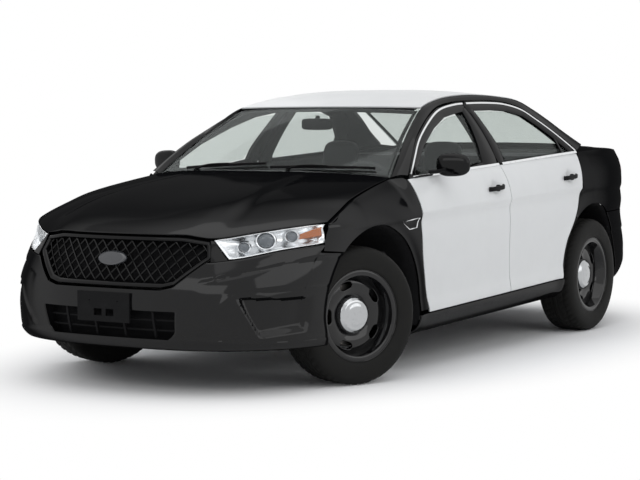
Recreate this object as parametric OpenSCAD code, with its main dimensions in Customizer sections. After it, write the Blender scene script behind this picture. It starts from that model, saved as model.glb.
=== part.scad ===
// Full-size police patrol car: a four-door sedan with a black body, white doors and a white roof.
// X points to the car's left, Y to its rear and Z up; the origin is under the middle of its length.

/* [Chassis] */
// Distance between the axles
wheelbase = 2845; // [2830:1:2870]
// Distance between the wheel centres of one axle
track = 1660; // [1640:1:1670]
// Turn of the front wheels as the car stands, positive to the left
parked_steer = -22; // [-24:1:20]
// Outer radius of a tyre
tyre_r = 363; // [355:1:366]
// Width of a tyre
tyre_w = 245; // [225:1:250]
// Radius of the rim flange
rim_r = 241; // [236:1:246]
// Number of slots in a wheel disc
slots = 5; // [4:1:8]

/* [Body] */
// Radius of the front wheel arch
front_arch_r = 462; // [458:1:466]
// Radius of the rear wheel arch
rear_arch_r = 445; // [441:1:449]
// How far an arch lip stands out from the body side
flare = 12; // [6:1:12]
// Gap between two neighbouring panels
gap = 6; // [5:1:8]
// Thickness of a lid or a bumper skin
skin = 28; // [22:1:32]
// Thickness of window glass
glass_t = 5; // [4:1:6]
// Height of the cabin floor's underside
floor_z = 205; // [200:1:215]

/* [Cabin] */
// Sideways place of a front seat's centre
seat_x = 370; // [350:1:385]
// Width of a front seat
seat_w = 520; // [480:1:540]
// Radius of the steering wheel's rim
steer_r = 185; // [175:1:195]
// Tilt of the steering wheel's axis from level
steer_tilt = 24; // [20:1:28]

/* [Fixings] */
// Spacing of the number plate's fixing holes
plate_spacing = 178; // [170:1:185]
// Radius of the plate's fixing holes
plate_hole_r = 3.5; // [3:0.5:4]
// Radius of a towing eye's threaded socket
tow_r = 9; // [8:0.5:10]

/* [Hidden] */
$fn = 64;

rear_y = 1287;
front_y = rear_y - wheelbase;
wheel_x = track / 2;
nose_base = -1581;
front_arch = [front_y + 85, 368];
rear_arch = [rear_y - 5, 385];
kingpin_x = wheel_x - 40;

body_black = "#1b1c1f";
body_white = "#e9e9e6";
trim_black = "#111214";
rubber = "#1e1f1c";
steel = "#8c9095";
glass_tint = [0.25, 0.28, 0.28, 0.6];
cloth = "#2b2b2d";

// ---- Interpolation ----

function mix(a, b, t) = a + (b - a) * t;
function clamp(x, lo, hi) = max(lo, min(hi, x));
function ease(t) = let (u = clamp(t, 0, 1)) u * u * (3 - 2 * u);
function last_at(x, t) = clamp(len([for (e = t) if (e[0] <= x) 1]) - 1, 0, len(t) - 2);
function slope_at(t, i) =
    let (a = max(0, i - 1), b = min(len(t) - 1, i + 1))
    (t[b][1] - t[a][1]) / (t[b][0] - t[a][0]);

// Smooth curve through a table of [position, value] pairs; it is held level past both ends.
function at(x, t) =
    let (i = last_at(x, t), h = t[i + 1][0] - t[i][0], u = clamp((x - t[i][0]) / h, 0, 1))
    (1 + 2 * u) * pow(1 - u, 2) * t[i][1] + u * pow(1 - u, 2) * h * slope_at(t, i)
    + u * u * (3 - 2 * u) * t[i + 1][1] + u * u * (u - 1) * h * slope_at(t, i + 1);

// ---- Body lines, each a function of the place along the car ----

function bottom_z(y) = 228 + 0.028 * y;
function sill_z(y) = 348 + 0.0324 * y;
function crease_z(y) = 893 + 0.0324 * max(y, nose_base) + 0.03 * min(0, y - nose_base);
function belt_z(y) = at(y, [[-1100, 1052], [0, 1102], [1400, 1166], [1700, 1167], [2100, 1155],
    [2520, 1128]]);
// Edge between hood and fender as [z, x]
function hood_edge(y) = at(y, [[-1878, [871, 915]], [-1720, [925, 895]], [-1560, [972, 866]],
    [-1300, [1026, 832]], [-1040, [1067, 795]]]);

// Rocker, sill, door, undercut and crease points of the body side's section as [z, x]
function low_rails(y) = [
    [bottom_z(y), 866], [bottom_z(y) + 42, 924], [sill_z(y), 946], [sill_z(y) + 92, 938],
    [sill_z(y) + 252, 943], [sill_z(y) + 422, 952], [crease_z(y) - 36, 951], [crease_z(y), 962]];
// Shoulder points above the crease: they lead to the hood's edge in front and to the belt line behind it
function hood_rails(y) =
    let (c = [crease_z(y), 962], e = hood_edge(y))
    [mix(c, e, 0.3) + [10, 14], mix(c, e, 0.68) + [8, 16], e];
function belt_rails(y) = [[belt_z(y) - 117, 944], [belt_z(y) - 40, 908], [belt_z(y), 880]];
function high_rails(y) = mix(hood_rails(y), belt_rails(y), ease((y + 1125) / 100));
function arch_swell(y, z) =
    let (f = norm([y, z] - front_arch) - front_arch_r, r = norm([y, z] - rear_arch) - rear_arch_r)
    flare * (exp(-f * f / 3600) + exp(-r * r / 3600));
function taper(y) = 6 * pow((y + 100) / 1450, 2);
function flank(y, z) =
    let (yc = clamp(y, nose_base, rear_y))
    at(z, concat(low_rails(yc), high_rails(yc))) - taper(yc) + arch_swell(yc, z);

// Round ends: at each height the plan is a superellipse of depth b and power n
function nose_shape(z) = at(z, [[205, [885, 2.6]], [262, [938, 2.9]], [330, [962, 3]], [440, [984, 3]],
    [560, [978, 2.9]], [690, [936, 2.6]], [760, [909, 2.4]], [816, [890, 2.3]], [871, [837, 2.2]],
    [900, [680, 2.2]], [925, [507, 2.2]], [950, [365, 2.2]], [975, [330, 2.2]]]);
function tail_shape(z) = at(z, [
    [290, [1130, 2.5]], [400, [1238, 2.6]], [495, [1282, 2.6]], [600, [1288, 2.5]],
    [760, [1268, 2.3]], [925, [1242, 2.35]], [1055, [1182, 2.6]], [1133, [1150, 2.75]],
    [1170, [1120, 2.8]]]);
function round_off(r, n) = pow(max(0, 1 - pow(min(1, abs(r)), n)), 1 / n);
function nose_y(x, z) =
    let (s = nose_shape(z)) nose_base - s[0] * round_off(x / flank(nose_base, z), s[1]);
function tail_y(x, z) =
    let (s = tail_shape(z)) rear_y + s[0] * round_off(x / flank(rear_y, z), s[1]);
// Outside of the body at a place along the car and a height
function side_x(y, z) =
    y < nose_base
        ? (let (s = nose_shape(z)) flank(nose_base, z) * round_off((nose_base - y) / s[0], s[1]))
    : y > rear_y
        ? (let (s = tail_shape(z)) flank(rear_y, z) * round_off((y - rear_y) / s[0], s[1]))
    : flank(y, z);
function on_side(y, z) = [side_x(y, z), y, z];
// Point of a round end found by its turn from straight ahead (0) to the side (90)
function on_nose(a, z, inset = 0) =
    let (s = nose_shape(z), p = super(a, s[1]))
    [p[0] * (flank(nose_base, z) - inset), nose_base - p[1] * (s[0] - inset), z];
function on_tail(a, z, inset = 0) =
    let (s = tail_shape(z), p = super(a, s[1]))
    [p[0] * (flank(rear_y, z) - inset), rear_y + p[1] * (s[0] - inset), z];
function super(a, n) =
    let (k = pow(pow(abs(sin(a)), n) + pow(abs(cos(a)), n), -1 / n)) [sin(a) * k, cos(a) * k];
// Turns at which a round end has a given share of its depth, or of its half width
function turn_of_depth(r, n) = atan2(round_off(r, n), r);
function turn_of_width(r, n) = atan2(r, round_off(r, n));
function tail_turn_y(y, z) = let (s = tail_shape(z)) turn_of_depth((y - rear_y) / s[0], s[1]);
function tail_turn_x(x, z) = let (s = tail_shape(z)) turn_of_width(x / flank(rear_y, z), s[1]);
// How far along a wheel arch's opening reaches from its middle at a height
function arch_reach(arch, r, z) = sqrt(pow(r, 2) - pow(z - arch[1], 2));

// Side windows lean in above the belt line
function window_x(y, z) = let (h = z - belt_z(y)) 880 - 0.45 * h - 0.0006 * h * h;
function on_window(p, inset = 0) = [window_x(p[0], p[1]) - inset, p[0], p[1]];

// Outer edge of the roof and of the pillars as [x, z]
function roof_edge(y) = at(y, [
    [-472, [642, 1439]], [-308, [617, 1476]], [-80, [598, 1510]], [238, [594, 1525]],
    [593, [612, 1515]], [813, [642, 1488]], [1090, [692, 1383]], [1237, [728, 1310]],
    [1416, [757, 1236]], [1547, [788, 1176]]]);

// ---- Solids from curves ----

function cap(m, from) = [for (j = [0:m / 2 - 2]) each [
    [from + j, from + j + 1, from + m - 1 - j], [from + j + 1, from + m - 2 - j, from + m - 1 - j]]];
function sides(n, m, loop) = [for (i = [0:n - (loop ? 1 : 2)], j = [0:m - 1])
    let (a = i * m + j, b = i * m + (j + 1) % m,
         c = ((i + 1) % n) * m + (j + 1) % m, d = ((i + 1) % n) * m + j)
    each [[a, c, b], [a, d, c]]];
function turned(f) = [for (t = f) [t[2], t[1], t[0]]];
function volume(p, f) = [for (t = f) cross(p[t[0]], p[t[1]]) * p[t[2]]] * [for (t = f) 1];

// Closed solid through rings of points with an even count; a loop joins its last ring to its first.
module loft(rings, loop = false) {
    n = len(rings);
    m = len(rings[0]);
    points = [for (r = rings) each r];
    ends = loop ? [] : concat(cap(m, 0), turned(cap(m, (n - 1) * m)));
    faces = concat(sides(n, m, loop), ends);
    polyhedron(points, volume(points, faces) < 0 ? faces : turned(faces), convexity = 10);
}

function backwards(l) = [for (i = [len(l) - 1:-1:0]) l[i]];

// Solid between an outer and an inner grid of points
module slab(outer, inner) {
    loft([for (i = [0:len(outer) - 1]) concat(outer[i], backwards(inner[i]))]);
}

// Mesh solid of several shapes that meet at curved faces
module fused() {
    resize([0, 0, 0]) union() children();
}

module at_side(side) {
    if (side > 0) children();
    else mirror([1, 0, 0]) children();
}

function steps(n) = [for (i = [0:n]) i / n];
function arc_points(c, r, from, to, n) =
    [for (t = steps(n)) let (a = mix(from, to, t)) c + r * [cos(a), sin(a)]];

// ---- Shut lines ----

seam_z = 765;
fender_seam_z = 708;

function front_lead(z) = at(z, [[324, -895], [480, -935], [668, -977], [861, -999], [1060, -1024]]);
function door_split(z) = at(z, [[341, 103], [520, 90], [720, 78], [1110, 72]]);
function rear_edge(z) =
    z < 640
        ? rear_arch[0] - sqrt(pow(rear_arch_r + 16, 2) - pow(z - rear_arch[1], 2))
        : at(z, [[640, 900], [740, 982], [850, 1052], [940, 1090], [1060, 1122], [1160, 1165]]);

// Upper edge of the side windows as [y, z], from the mirror to the rear tip
window_top = [
    [-1002, 1056], [-860, 1163], [-700, 1264], [-466, 1364], [-265, 1427], [-48, 1457], [145, 1466],
    [380, 1468], [560, 1460], [723, 1428], [831, 1369], [944, 1299], [1066, 1221], [1172, 1152]];
function outset(l, i, d) =
    let (t = l[min(i + 1, len(l) - 1)] - l[max(i - 1, 0)], u = t / norm(t))
    l[i] + d * [-u[1], u[0]];

// ---- Body shell ----

// The rail's lower edge follows the windows; its upper edge follows the screen, roof and rear window.
pillar_tops = [[795, -1064, 1068], [760, -925, 1164], [716, -775, 1262], [669, -597, 1372],
    [637, -440, 1446],
    for (y = [-190, 145, 380, 560, 790, 950, 1110, 1290, 1480]) [roof_edge(y)[0], y, roof_edge(y)[1]]];

module upper_rail() {
    depth = 46;
    loft([for (i = [0:len(window_top) - 1])
        let (l = on_window(outset(window_top, i, 25)), e = pillar_tops[i] - [2, 0, 2],
             m = (l + e) / 2 + [5, 0, 7])
        [l, m, e, e - [6, 0, 22], m - [depth, 0, 10], l - [depth, 0, 0]]]);
}

module rocker() {
    depth = 150;
    ys = [-1030, -900, -700, -300, 100, 500, 760, 828];
    loft([for (y = ys)
        let (zb = bottom_z(y), zt = sill_z(y) - gap, zm = bottom_z(y) + 42)
        [on_side(y, zb), on_side(y, zm), on_side(y, zt), [815, y, zt], [812, y, zt + 70],
         [812 - depth, y, zt + 70], [812 - depth, y, zb + 12], [812, y, zb + 4]]]);
}

// Quarter panel: a strip from the wheel arch and the bumper's seam up to the rear door's edge and the belt
module quarter() {
    arch_out = asin((seam_z - rear_arch[1]) / rear_arch_r);
    low = concat(
        [for (a = [172, 165, 157, 152, 141, 130, 121, 111, 103])
            rear_arch + rear_arch_r * [cos(a), sin(a)]],
        arc_points(rear_arch, rear_arch_r, 95, arch_out, 4),
        [for (y = [1640, 1750, 1850, lamp_y - 6]) [y, seam_z]]);
    high = concat(
        [for (z = [440, 520, 600, 640, 740, 850, 940, 1060, 1150]) [rear_edge(z) + gap + 2, z]],
        [for (y = [1205, 1275, 1350, 1430, 1510, 1640, 1750, 1850, lamp_y - 6]) [y, belt_z(y)]]);
    rows = [0, 0.2, 0.4, 0.6, 0.8, 0.92, 1];
    outer = [for (i = [0:len(low) - 1]) [for (t = rows)
        let (p = mix(low[i], high[i], t)) on_side(p[0], p[1])]];
    inner = [for (c = outer) [for (p = c)
        [min(p[0] - 25, mix(790, 720, clamp((p[1] - 1200) / 700, 0, 1))), p[1], p[2]]]];
    slab(outer, inner);
    // Top of the quarter between the belt line and the trunk lid
    ys = [1176, 1300, 1480, 1640, 1800, lamp_y - 10];
    top = [for (y = ys) shoulder(on_side(y, belt_z(y)))];
    slab(top, [for (r = top) [for (p = r) p - [p[0] > 800 ? 22 : 0, 0, 30]]]);
}
function shoulder(b) =
    let (e = deck_edge(b[1])) [b + [-3, 0, -9], b + [-4, 0, -1], mix(b, e, 0.5) + [0, 0, 9], e];

// Point moved in from a rear corner's skin; it stays clear of the trunk lid and the quarter panel
function inward(p, d) =
    p - [d * clamp((p[0] - 585) / 200, 0, 1), d * clamp((840 - p[0]) / 160, 0, 1), 0];

// Rear corner: the skin under the tail lamp and the shoulder over it, round to the trunk lid
lamp_y = 1950;
function corner_turn(u, z) = mix(tail_turn_y(lamp_y - 14, z), tail_turn_x(lid_half + 12, z), u);
function lamp_low(u) = mix(900, 880, u);
function lamp_high(u) = mix(1085, 1100, u);
module rear_corner() {
    under = [for (u = steps(7)) [for (t = steps(3))
        let (z = mix(seam_z, lamp_low(u) - gap, t)) on_tail(corner_turn(u, z), z)]];
    slab(under, [for (r = under) [for (p = r) inward(p, skin)]]);
    over = [for (u = [0:0.16:0.97])
        let (z = lamp_high(u) + gap, zb = mix(belt_z(lamp_y), 1142, u),
             b = on_tail(corner_turn(u, zb), zb))
        concat([on_tail(corner_turn(u, z), z)], [for (p = shoulder(b)) p])];
    closed = [for (r = over) concat(r, [r[4] - [0, 0, 24], r[3] - [0, 0, 30], inward(r[0], 22)])];
    loft(closed);
}

// Inner edge of the quarter's top: the pillar's foot, then the trunk lid's side
function deck_edge(y) = let (v = at(y, [[1176, [835, 1172]], [1300, [800, 1196]], [1480, [772, 1194]],
    [1640, [742, 1180]], [1950, [700, 1165]], [2200, [626, 1152]], [2330, [566, 1144]]])) [v[0], y, v[1]];

module b_pillar() {
    for_z = [400, 700, 1090, 1280, 1480];
    xs = [[812, 730], [812, 735], [796, 730]];
    loft([for (i = [0:4])
        let (z = for_z[i], up = z > 1100, o = up ? window_x(75, z) - 58 : xs[i][0],
             n = up ? o - 45 : xs[i][1], w = up ? 34 : 62)
        [[o, 75 - w, z], [o, 75 + w, z], [n, 75 + w, z], [n, 75 - w, z]]]);
}

// Post that carries the front door's hinges, inside the fender
module hinge_pillar() {
    loft([for (e = [[260, -1150, -1010], [700, -1160, -1030], [1012, -1140, -1045]])
        [[808, e[1], e[0]], [808, e[2], e[0]], [730, e[2], e[0]], [730, e[1], e[0]]]]);
}

module body_sides() {
    color(body_black)
    for (s = [-1, 1]) at_side(s) fused() {
        upper_rail();
        rocker();
        quarter();
        rear_corner();
        b_pillar();
        hinge_pillar();
    }
}

module roof_panel() {
    ts = steps(8);
    ss = [-1, -0.94, -0.8, -0.5, 0, 0.5, 0.8, 0.94, 1];
    centre = [[-470, 1455], [-308, 1497], [-80, 1540], [150, 1557], [450, 1551], [800, 1520],
        [1075, 1478]];
    outer = [for (t = ts) [for (s = ss)
        let (yf = mix(-470, -440, s * s), yr = mix(1075, 960, s * s), y = mix(yf, yr, t),
             e = roof_edge(clamp(y, -440, 900)),
             edge_z = y > 900 ? mix(e[1], 1437, (y - 900) / 60) : e[1],
             zc = at(mix(-470, 1075, t), centre))
        [s * (e[0] - 10), y, zc - (zc - edge_z - 3) * pow(abs(s), 3.2)]]];
    color(body_white)
    slab(outer, [for (r = outer) [for (p = r) p - [0, 0, 22]]]);
}

// Fender: a strip from the wheel arch out to the lamp, the hood and the front door
module fender() {
    arch_front = 180 - asin((fender_seam_z - front_arch[1]) / front_arch_r);
    arch_rear = asin((335 - front_arch[1]) / front_arch_r);
    high = concat(
        [[-1908, fender_seam_z + 14], [-1896, 800], [-1884, 856]],
        [for (y = [-1790, -1690, -1581, -1450, -1300, -1170, -1056]) [y, hood_edge(y)[0] - 1]],
        [for (z = [1050, 960, 860, 740, 600, 460, 335]) [front_lead(z) - gap - 2, z]]);
    low = arc_points(front_arch, front_arch_r, arch_front, arch_rear, len(high) - 1);
    rows = [0, 0.12, 0.3, 0.5, 0.7, 0.85, 0.94, 1];
    outer = [for (i = [0:len(low) - 1]) [for (t = rows)
        let (p = mix(low[i], high[i], t)) on_side(p[0], p[1])]];
    slab(outer, [for (r = outer) [for (p = r)
        let (top = clamp((p[2] - 860) / 120, 0, 1)) p - [mix(26, 10, top), 0, 26 * top]]]);
}
module front_fenders() {
    color(body_black)
    for (s = [-1, 1]) at_side(s) fender();
}

// ---- Front end ----

// Lower edge of a headlamp by distance from the middle as [x, z]; the bumper's skin stops under it
function lamp_bottom(x) = at(x, [[560, 687], [680, 705], [800, 738], [890, 758], [915, 765]]);
function hood_front(x) = at(abs(x), [[0, 818], [400, 816], [455, 808], [520, 800], [600, 808],
    [700, 829], [800, 849], [915, 871]]);
function bumper_top(x) =
    x < 905
        ? lamp_bottom(max(x, 560)) - gap
        : fender_seam_z - gap + 14 * clamp((945 - x) / 40, 0, 1);
grille_outline = [[-556, 700], [-526, 790], [-380, 812], [380, 812], [526, 790], [556, 700],
    [400, 560], [330, 543], [-330, 543], [-400, 560]];
intake_outline = [[-415, 440], [415, 440], [400, 330], [360, 296], [-360, 296], [-400, 330]];

module front_bumper() {
    half = [0, 110, 220, 330, 440, 520, 562, 640, 720, 800, 860, 900, 912, 935];
    rows = [0, 0.1, 0.22, 0.4, 0.6, 0.8, 1];
    foot_z = 242;
    ref_z = 720;
    // The skin ends at the wheel arch, where its depth along the side grows less with height
    function rim_turn(z) = let (s = nose_shape(z))
        turn_of_depth((nose_base - front_arch[0] + arch_reach(front_arch, front_arch_r, z)) / s[0], s[1]);
    function share(x) = let (s = nose_shape(ref_z))
        turn_of_width(x / flank(nose_base, ref_z), s[1]) / rim_turn(ref_z);
    columns = concat([for (x = half) [share(x), bumper_top(x)]], [[1, bumper_top(950)]]);
    function side_grid(k, inset) = [for (c = columns) [for (t = rows)
        let (z = mix(foot_z, c[1], t)) on_nose(k * c[0] * rim_turn(z), z, inset)]];
    function grid(inset) = let (g = side_grid(1, inset), h = side_grid(-1, inset))
        concat([for (i = [len(h) - 1:-1:1]) h[i]], g);
    color(body_black)
    fused()
    difference() {
        slab(grid(0), grid(skin));
        through_nose() polygon(grille_outline);
        through_nose() polygon(intake_outline);
    }
}

// Upright outline carried lengthways through the nose
module through_nose() {
    translate([0, -2200, 0]) rotate([90, 0, 0]) linear_extrude(500) children();
}

// Frame of the grille with slats across it, all bent to the nose's curve
module grille() {
    inset = 34;
    depth = 18;
    frame_w = 40;
    slat_h = 14;
    function sheet_points(d) = [for (x = [-552:92:553]) [for (z = [536, 610, 690, 760, 818])
        [x, nose_y(x, z) + d, z]]];
    // Half width of the frame's hollow at a height
    function hollow(z) = at(z, [[560, 340], [600, 392], [700, 498], [780, 474]]) - 6;
    color(trim_black) {
        fused()
        difference() {
            intersection() {
                slab(sheet_points(inset), sheet_points(inset + depth));
                through_nose() offset(delta = -7) polygon(grille_outline);
            }
            through_nose() offset(delta = -frame_w) polygon(grille_outline);
        }
        for (z = [605, 640, 675, 710, 745])
            slat([for (t = [-1:0.125:1]) t * hollow(z)], z, inset + 4, slat_h);
    }
}
module slat(xs, z, inset, h) {
    front = [for (x = xs) [for (v = [z, z + h]) [x, nose_y(x, v) + inset, v]]];
    slab(front, [for (r = front) [for (p = r) p + [0, 10, 0]]]);
}

module plate_bracket() {
    color(trim_black)
    translate([0, -2577, 0])
    rotate([-90, 0, 0])
    difference() {
        translate([-165, -525, 0]) cube([330, 150, 10]);
        for (s = [-1, 1]) translate([s * plate_spacing / 2, -480, -1]) cylinder(r = plate_hole_r, h = 12);
        translate([-60, -440, -1]) cube([50, 36, 12]);
        translate([15, -440, -1]) cube([50, 36, 12]);
    }
}

module radiator() {
    color(steel)
    translate([-390, -2330, 262]) {
        difference() {
            cube([780, 40, 470]);
            translate([30, -1, 30]) cube([720, 12, 410]);
        }
        for (i = [0:22]) translate([30, 0, 40 + i * 18]) cube([720, 11, 4]);
    }
}

module lamp(side) {
    outer = [for (u = steps(8)) [for (t = steps(4))
        let (low = mix(562, 906, u), high = mix(540, 902, u), x = mix(low, high, t),
             z = mix(lamp_bottom(low) + 1, hood_front(high) - 2 * gap, t))
        [x, nose_y(x, z), z]]];
    at_side(side)
    slab(outer, [for (r = outer) [for (p = r)
        p + [-30 * clamp((p[0] - 560) / 200, 0, 1), 90 * (1 - p[0] / 1400), 0]]]);
}
module headlamps() {
    color([0.85, 0.87, 0.9, 0.9])
    for (s = [-1, 1]) lamp(s);
}

// ---- Rear end ----

lid_half = 560;
module rear_bumper() {
    turns = [for (a = [-1:0.0625:1]) a];
    foot_z = 290;
    function edge_turn(z) = tail_turn_y(rear_arch[0] + arch_reach(rear_arch, rear_arch_r, z), z);
    function grid(inset) = [for (a = turns) [for (t = [0, 0.15, 0.35, 0.6, 0.8, 1])
        let (z = mix(foot_z, seam_z - gap, t)) on_tail(a * edge_turn(z), z, inset)]];
    color(body_black)
    fused() {
        slab(grid(0), grid(skin));
        // Shelf over the bumper beam
        translate([-lid_half, 2360, 715]) cube([2 * lid_half, 90, 40]);
    }
}

module tail_lamp(side) {
    front = lamp_y + 2;
    outer = [for (u = steps(8)) [for (t = steps(4))
        let (z = mix(lamp_low(u), lamp_high(u), t))
        on_tail(mix(tail_turn_y(front, z), tail_turn_x(lid_half + 12, z), u), z)]];
    at_side(side)
    slab(outer, [for (r = outer) [for (p = r) inward(p, 45)]]);
}
module tail_lamps() {
    color("#a01318")
    for (s = [-1, 1]) tail_lamp(s);
}

// ---- Glass ----

function screen_point(s, t) =
    let (low = [780 * s, -1183 + 128 * s * s, 1092 - 26 * s * s],
         high = [622 * s, -476 + 30 * s * s, 1450 - 14 * s * s],
         bulge = 26 * 4 * t * (1 - t) * (1 - 0.3 * s * s))
    mix(low, high, t) + bulge * [0, -0.45, 0.89];
module windscreen() {
    outer = [for (t = steps(8)) [for (s = [-1:0.2:1.001]) screen_point(s, t)]];
    slab(outer, [for (r = outer) [for (p = r) p + glass_t * [0, 0.45, -0.89]]]);
}
function back_point(s, t) =
    let (high = [630 * s, 1082 - 112 * s * s, 1474 - 40 * s * s],
         low = [728 * s, 1828 - 260 * s * s, 1192],
         bulge = 16 * 4 * t * (1 - t) * (1 - s * s))
    mix(high, low, t) + bulge * [0, 0.36, 0.93];
module rear_window() {
    outer = [for (t = steps(7)) [for (s = [-0.97:0.194:0.971]) back_point(s, t)]];
    slab(outer, [for (r = outer) [for (p = r) p - glass_t * [0, 0.36, 0.93]]]);
}
module screens() {
    color(glass_tint) {
        windscreen();
        rear_window();
    }
}

// ---- Structure ----

module cowl() {
    ss = [-1:0.25:1];
    color(trim_black)
    fused() {
        slab(
            [for (s = ss) [[775 * s, -1180 + 128 * s * s, 1078 - 26 * s * s],
                [760 * s, -1062 + 10 * s * s, 1075 - 14 * s * s]]],
            [for (s = ss) [[775 * s, -1160 + 118 * s * s, 1040 - 10 * s * s],
                [760 * s, -1062 + 10 * s * s, 1030]]]);
        translate([-725, -1075, 330]) cube([1450, 26, 712]);
    }
}

floor_profile = [[-1046, floor_z], [520, floor_z], [600, 305], [1000, 305], [1020, 330], [1560, 330],
    [2210, 317], [2240, 340], [2240, 700], [2210, 700], [2210, 360], [1560, 420], [1130, 420],
    [1075, 470], [1020, 470],
    [980, 400], [560, 345], [430, 245], [-900, 245], [-1046, 380]];
floor_plan = [[-655, -1050], [655, -1050], [655, 2110], [560, 2250], [-560, 2250],
    [-655, 2110]];
module floor_pan() {
    color("#3a3b3d")
    intersection() {
        translate([-655, 0, 0]) rotate([90, 0, 90]) linear_extrude(1310) polygon(floor_profile);
        translate([0, 0, 100]) linear_extrude(700) polygon(floor_plan);
    }
}

module rear_shelf() {
    color(cloth)
    translate([-640, 0, 0])
    rotate([90, 0, 90])
    linear_extrude(1280)
    polygon([[1085, 1105], [1105, 1130], [1600, 1140], [1600, 1118], [1130, 1108], [1130, 476],
        [1085, 476]]);
}

module engine_block() {
    color("#4b4d50")
    translate([-330, -1880, 330]) cube([620, 480, 480]);
}

module front_subframe() {
    color("#26272a") {
        for (s = [-1, 1]) {
            translate([s * 455 - 40, -2240, 215]) cube([80, 1150, 80]);
            // Lower arm out to the hub, drawn short of it
            hull() {
                translate([s * 500, front_y + 120, 232]) cylinder(r = 32, h = 36);
                translate([s * 650, front_y, 232]) cylinder(r = 24, h = 36);
            }
            // Spring strut
            translate([s * 560, front_y + 8, 330]) cylinder(r = 55, h = 470);
            translate([s * 560, front_y + 8, 268]) cylinder(r = 26, h = 70);
        }
        translate([-455, -2180, 222]) cube([910, 70, 60]);
        // Crash beam with the socket for a screw-in towing eye
        difference() {
            translate([-520, -2420, 335]) cube([1040, 60, 90]);
            translate([300, -2421, 380]) rotate([-90, 0, 0]) cylinder(r = tow_r, h = 62);
        }
        for (s = [-1, 1]) translate([s * 455 - 40, -2362, 290]) cube([80, 150, 60]);
        translate([-455, -1250, 222]) cube([910, 80, 60]);
    }
}

module rear_suspension() {
    color("#26272a") {
        translate([-420, rear_y - 60, 235]) cube([840, 120, 70]);
        for (s = [-1, 1]) {
            translate([s * 415, rear_y, 270]) rotate([0, s * 90, 0]) cylinder(r = 30, h = 275);
            translate([s * 676 - 14, rear_y - 35, 235]) cube([28, 70, 180]);
            translate([s * 664, rear_y, tyre_r]) rotate([0, s * 90, 0]) cylinder(r = 62, h = 60);
            // Spindle
            translate([s * 720, rear_y, tyre_r]) rotate([0, s * 90, 0]) cylinder(r = 31.5, h = 134);
            translate([s * 560, rear_y + 60, 262]) cylinder(r = 48, h = 62);
        }
    }
}

module exhaust() {
    color(steel) {
        translate([-200, -1000, 168]) rotate([-90, 0, 0]) cylinder(r = 32, h = 2100);
        translate([-200, 1800, 235]) rotate([0, 90, 0]) cylinder(r = 62, h = 400);
        translate([-200, 1090, 168]) rotate([-84.5, 0, 0]) cylinder(r = 30, h = 720);
        for (s = [-1, 1]) {
            translate([s * 430, 1800, 236]) rotate([0, -s * 90, 0]) cylinder(r = 30, h = 240);
            translate([s * 430, 1775, 238]) rotate([-90, 0, 0]) cylinder(r = 38, h = 650);
        }
    }
}

module fuel_tank() {
    color(trim_black)
    translate([80, 620, 200]) cube([520, 360, 95]);
}

// ---- Cabin ----

module dashboard() {
    color("#1d1d1f")
    fused() {
        loft([for (x = [-700, -560, -160, 160, 560, 700])
            let (d = abs(x) < 400 ? 40 : 0)
            [[x, -1040, 1040], [x, -900, 1046 + d / 4], [x, -720 + d, 1010], [x, -668 + d, 905],
             [x, -740 + d, 700], [x, -900, 620], [x, -1040, 620], [x, -1042, 830]]]);
        translate([-100, -880, 246]) cube([200, 760, 250]);
        translate([-150, -860, 480]) cube([300, 230, 230]);
        translate([-95, -400, 440]) cube([190, 480, 120]);
    }
}

module front_seat(x) {
    translate([x, 0, 0]) {
        // Cushion
        translate([-seat_w / 2, -410, 335]) cube([seat_w, 500, 130]);
        // Backrest
        translate([0, 80, 430])
        rotate([-16, 0, 0])
        translate([-seat_w / 2 + 14, 0, 0])
        cube([seat_w - 28, 120, 650]);
        // Head restraint
        translate([0, 268, 1030]) rotate([-14, 0, 0]) translate([-130, -45, 0]) cube([260, 96, 215]);
        // Base on its rails
        translate([-seat_w / 2 + 30, -370, 246]) cube([seat_w - 60, 420, 110]);
    }
}
module front_seats() {
    color(cloth)
    for (s = [-1, 1]) front_seat(s * seat_x);
}

module rear_seat() {
    color(cloth) {
        translate([-630, 470, 404]) cube([1260, 470, 130]);
        translate([0, 862, 500]) rotate([-12, 0, 0]) translate([-612, 0, 0]) cube([1224, 96, 570]);
    }
}

module steering_wheel() {
    color(trim_black)
    translate([seat_x, -560, 955])
    rotate([-90 + steer_tilt, 0, 0]) {
        rotate_extrude() translate([steer_r, 0]) circle(r = 15, $fn = 24);
        translate([0, 0, -30]) cylinder(r = 62, h = 40);
        for (a = [0, 180, 270]) rotate(a) translate([40, -16, -10]) cube([steer_r - 46, 32, 14]);
        translate([0, 0, -66]) cylinder(r = 30, h = 40);
    }
}

// ---- Lids ----

hood_centre = [[0, 818], [0.05, 850], [0.12, 884], [0.3, 950], [0.52, 1006], [0.76, 1053], [1, 1092]];
hood_side = [[0, 871], [0.2, 925], [0.363, 970], [0.706, 1026], [1, 1064]];
function hood_point(s, q) =
    let (xf = 903 * s, x = s * mix(903, 784, q) - sign(s) * 6 * sin(180 * q) * abs(s),
         yf = nose_y(xf, hood_front(xf)), yr = -1196 + 128 * s * s, y = mix(yf, yr, q),
         fall = pow(abs(s), 3.4), base = at(q, hood_centre) * (1 - fall) + at(q, hood_side) * fall,
         lead = hood_front(xf) - (818 * (1 - fall) + 871 * fall))
    [x, y, base + lead * pow(1 - q, 3) + 100 * s * s * (1 - abs(s)) * sin(180 * pow(q, 0.6))];
module hood() {
    ss = [-1, -0.95, -0.85, -0.7, -0.5, -0.25, 0, 0.25, 0.5, 0.7, 0.85, 0.95, 1];
    qs = [0, 0.05, 0.12, 0.25, 0.4, 0.6, 0.8, 1];
    outer = [for (q = qs) [for (s = ss) hood_point(s, q)]];
    inner = [for (q = qs) [for (s = ss)
        let (p = hood_point(s * 0.985, mix(0.006, 0.99, q)))
        p - [0, 0, mix(6, skin, ease(q / 0.15))]]];
    color(body_black)
    slab(outer, inner);
}

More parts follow.
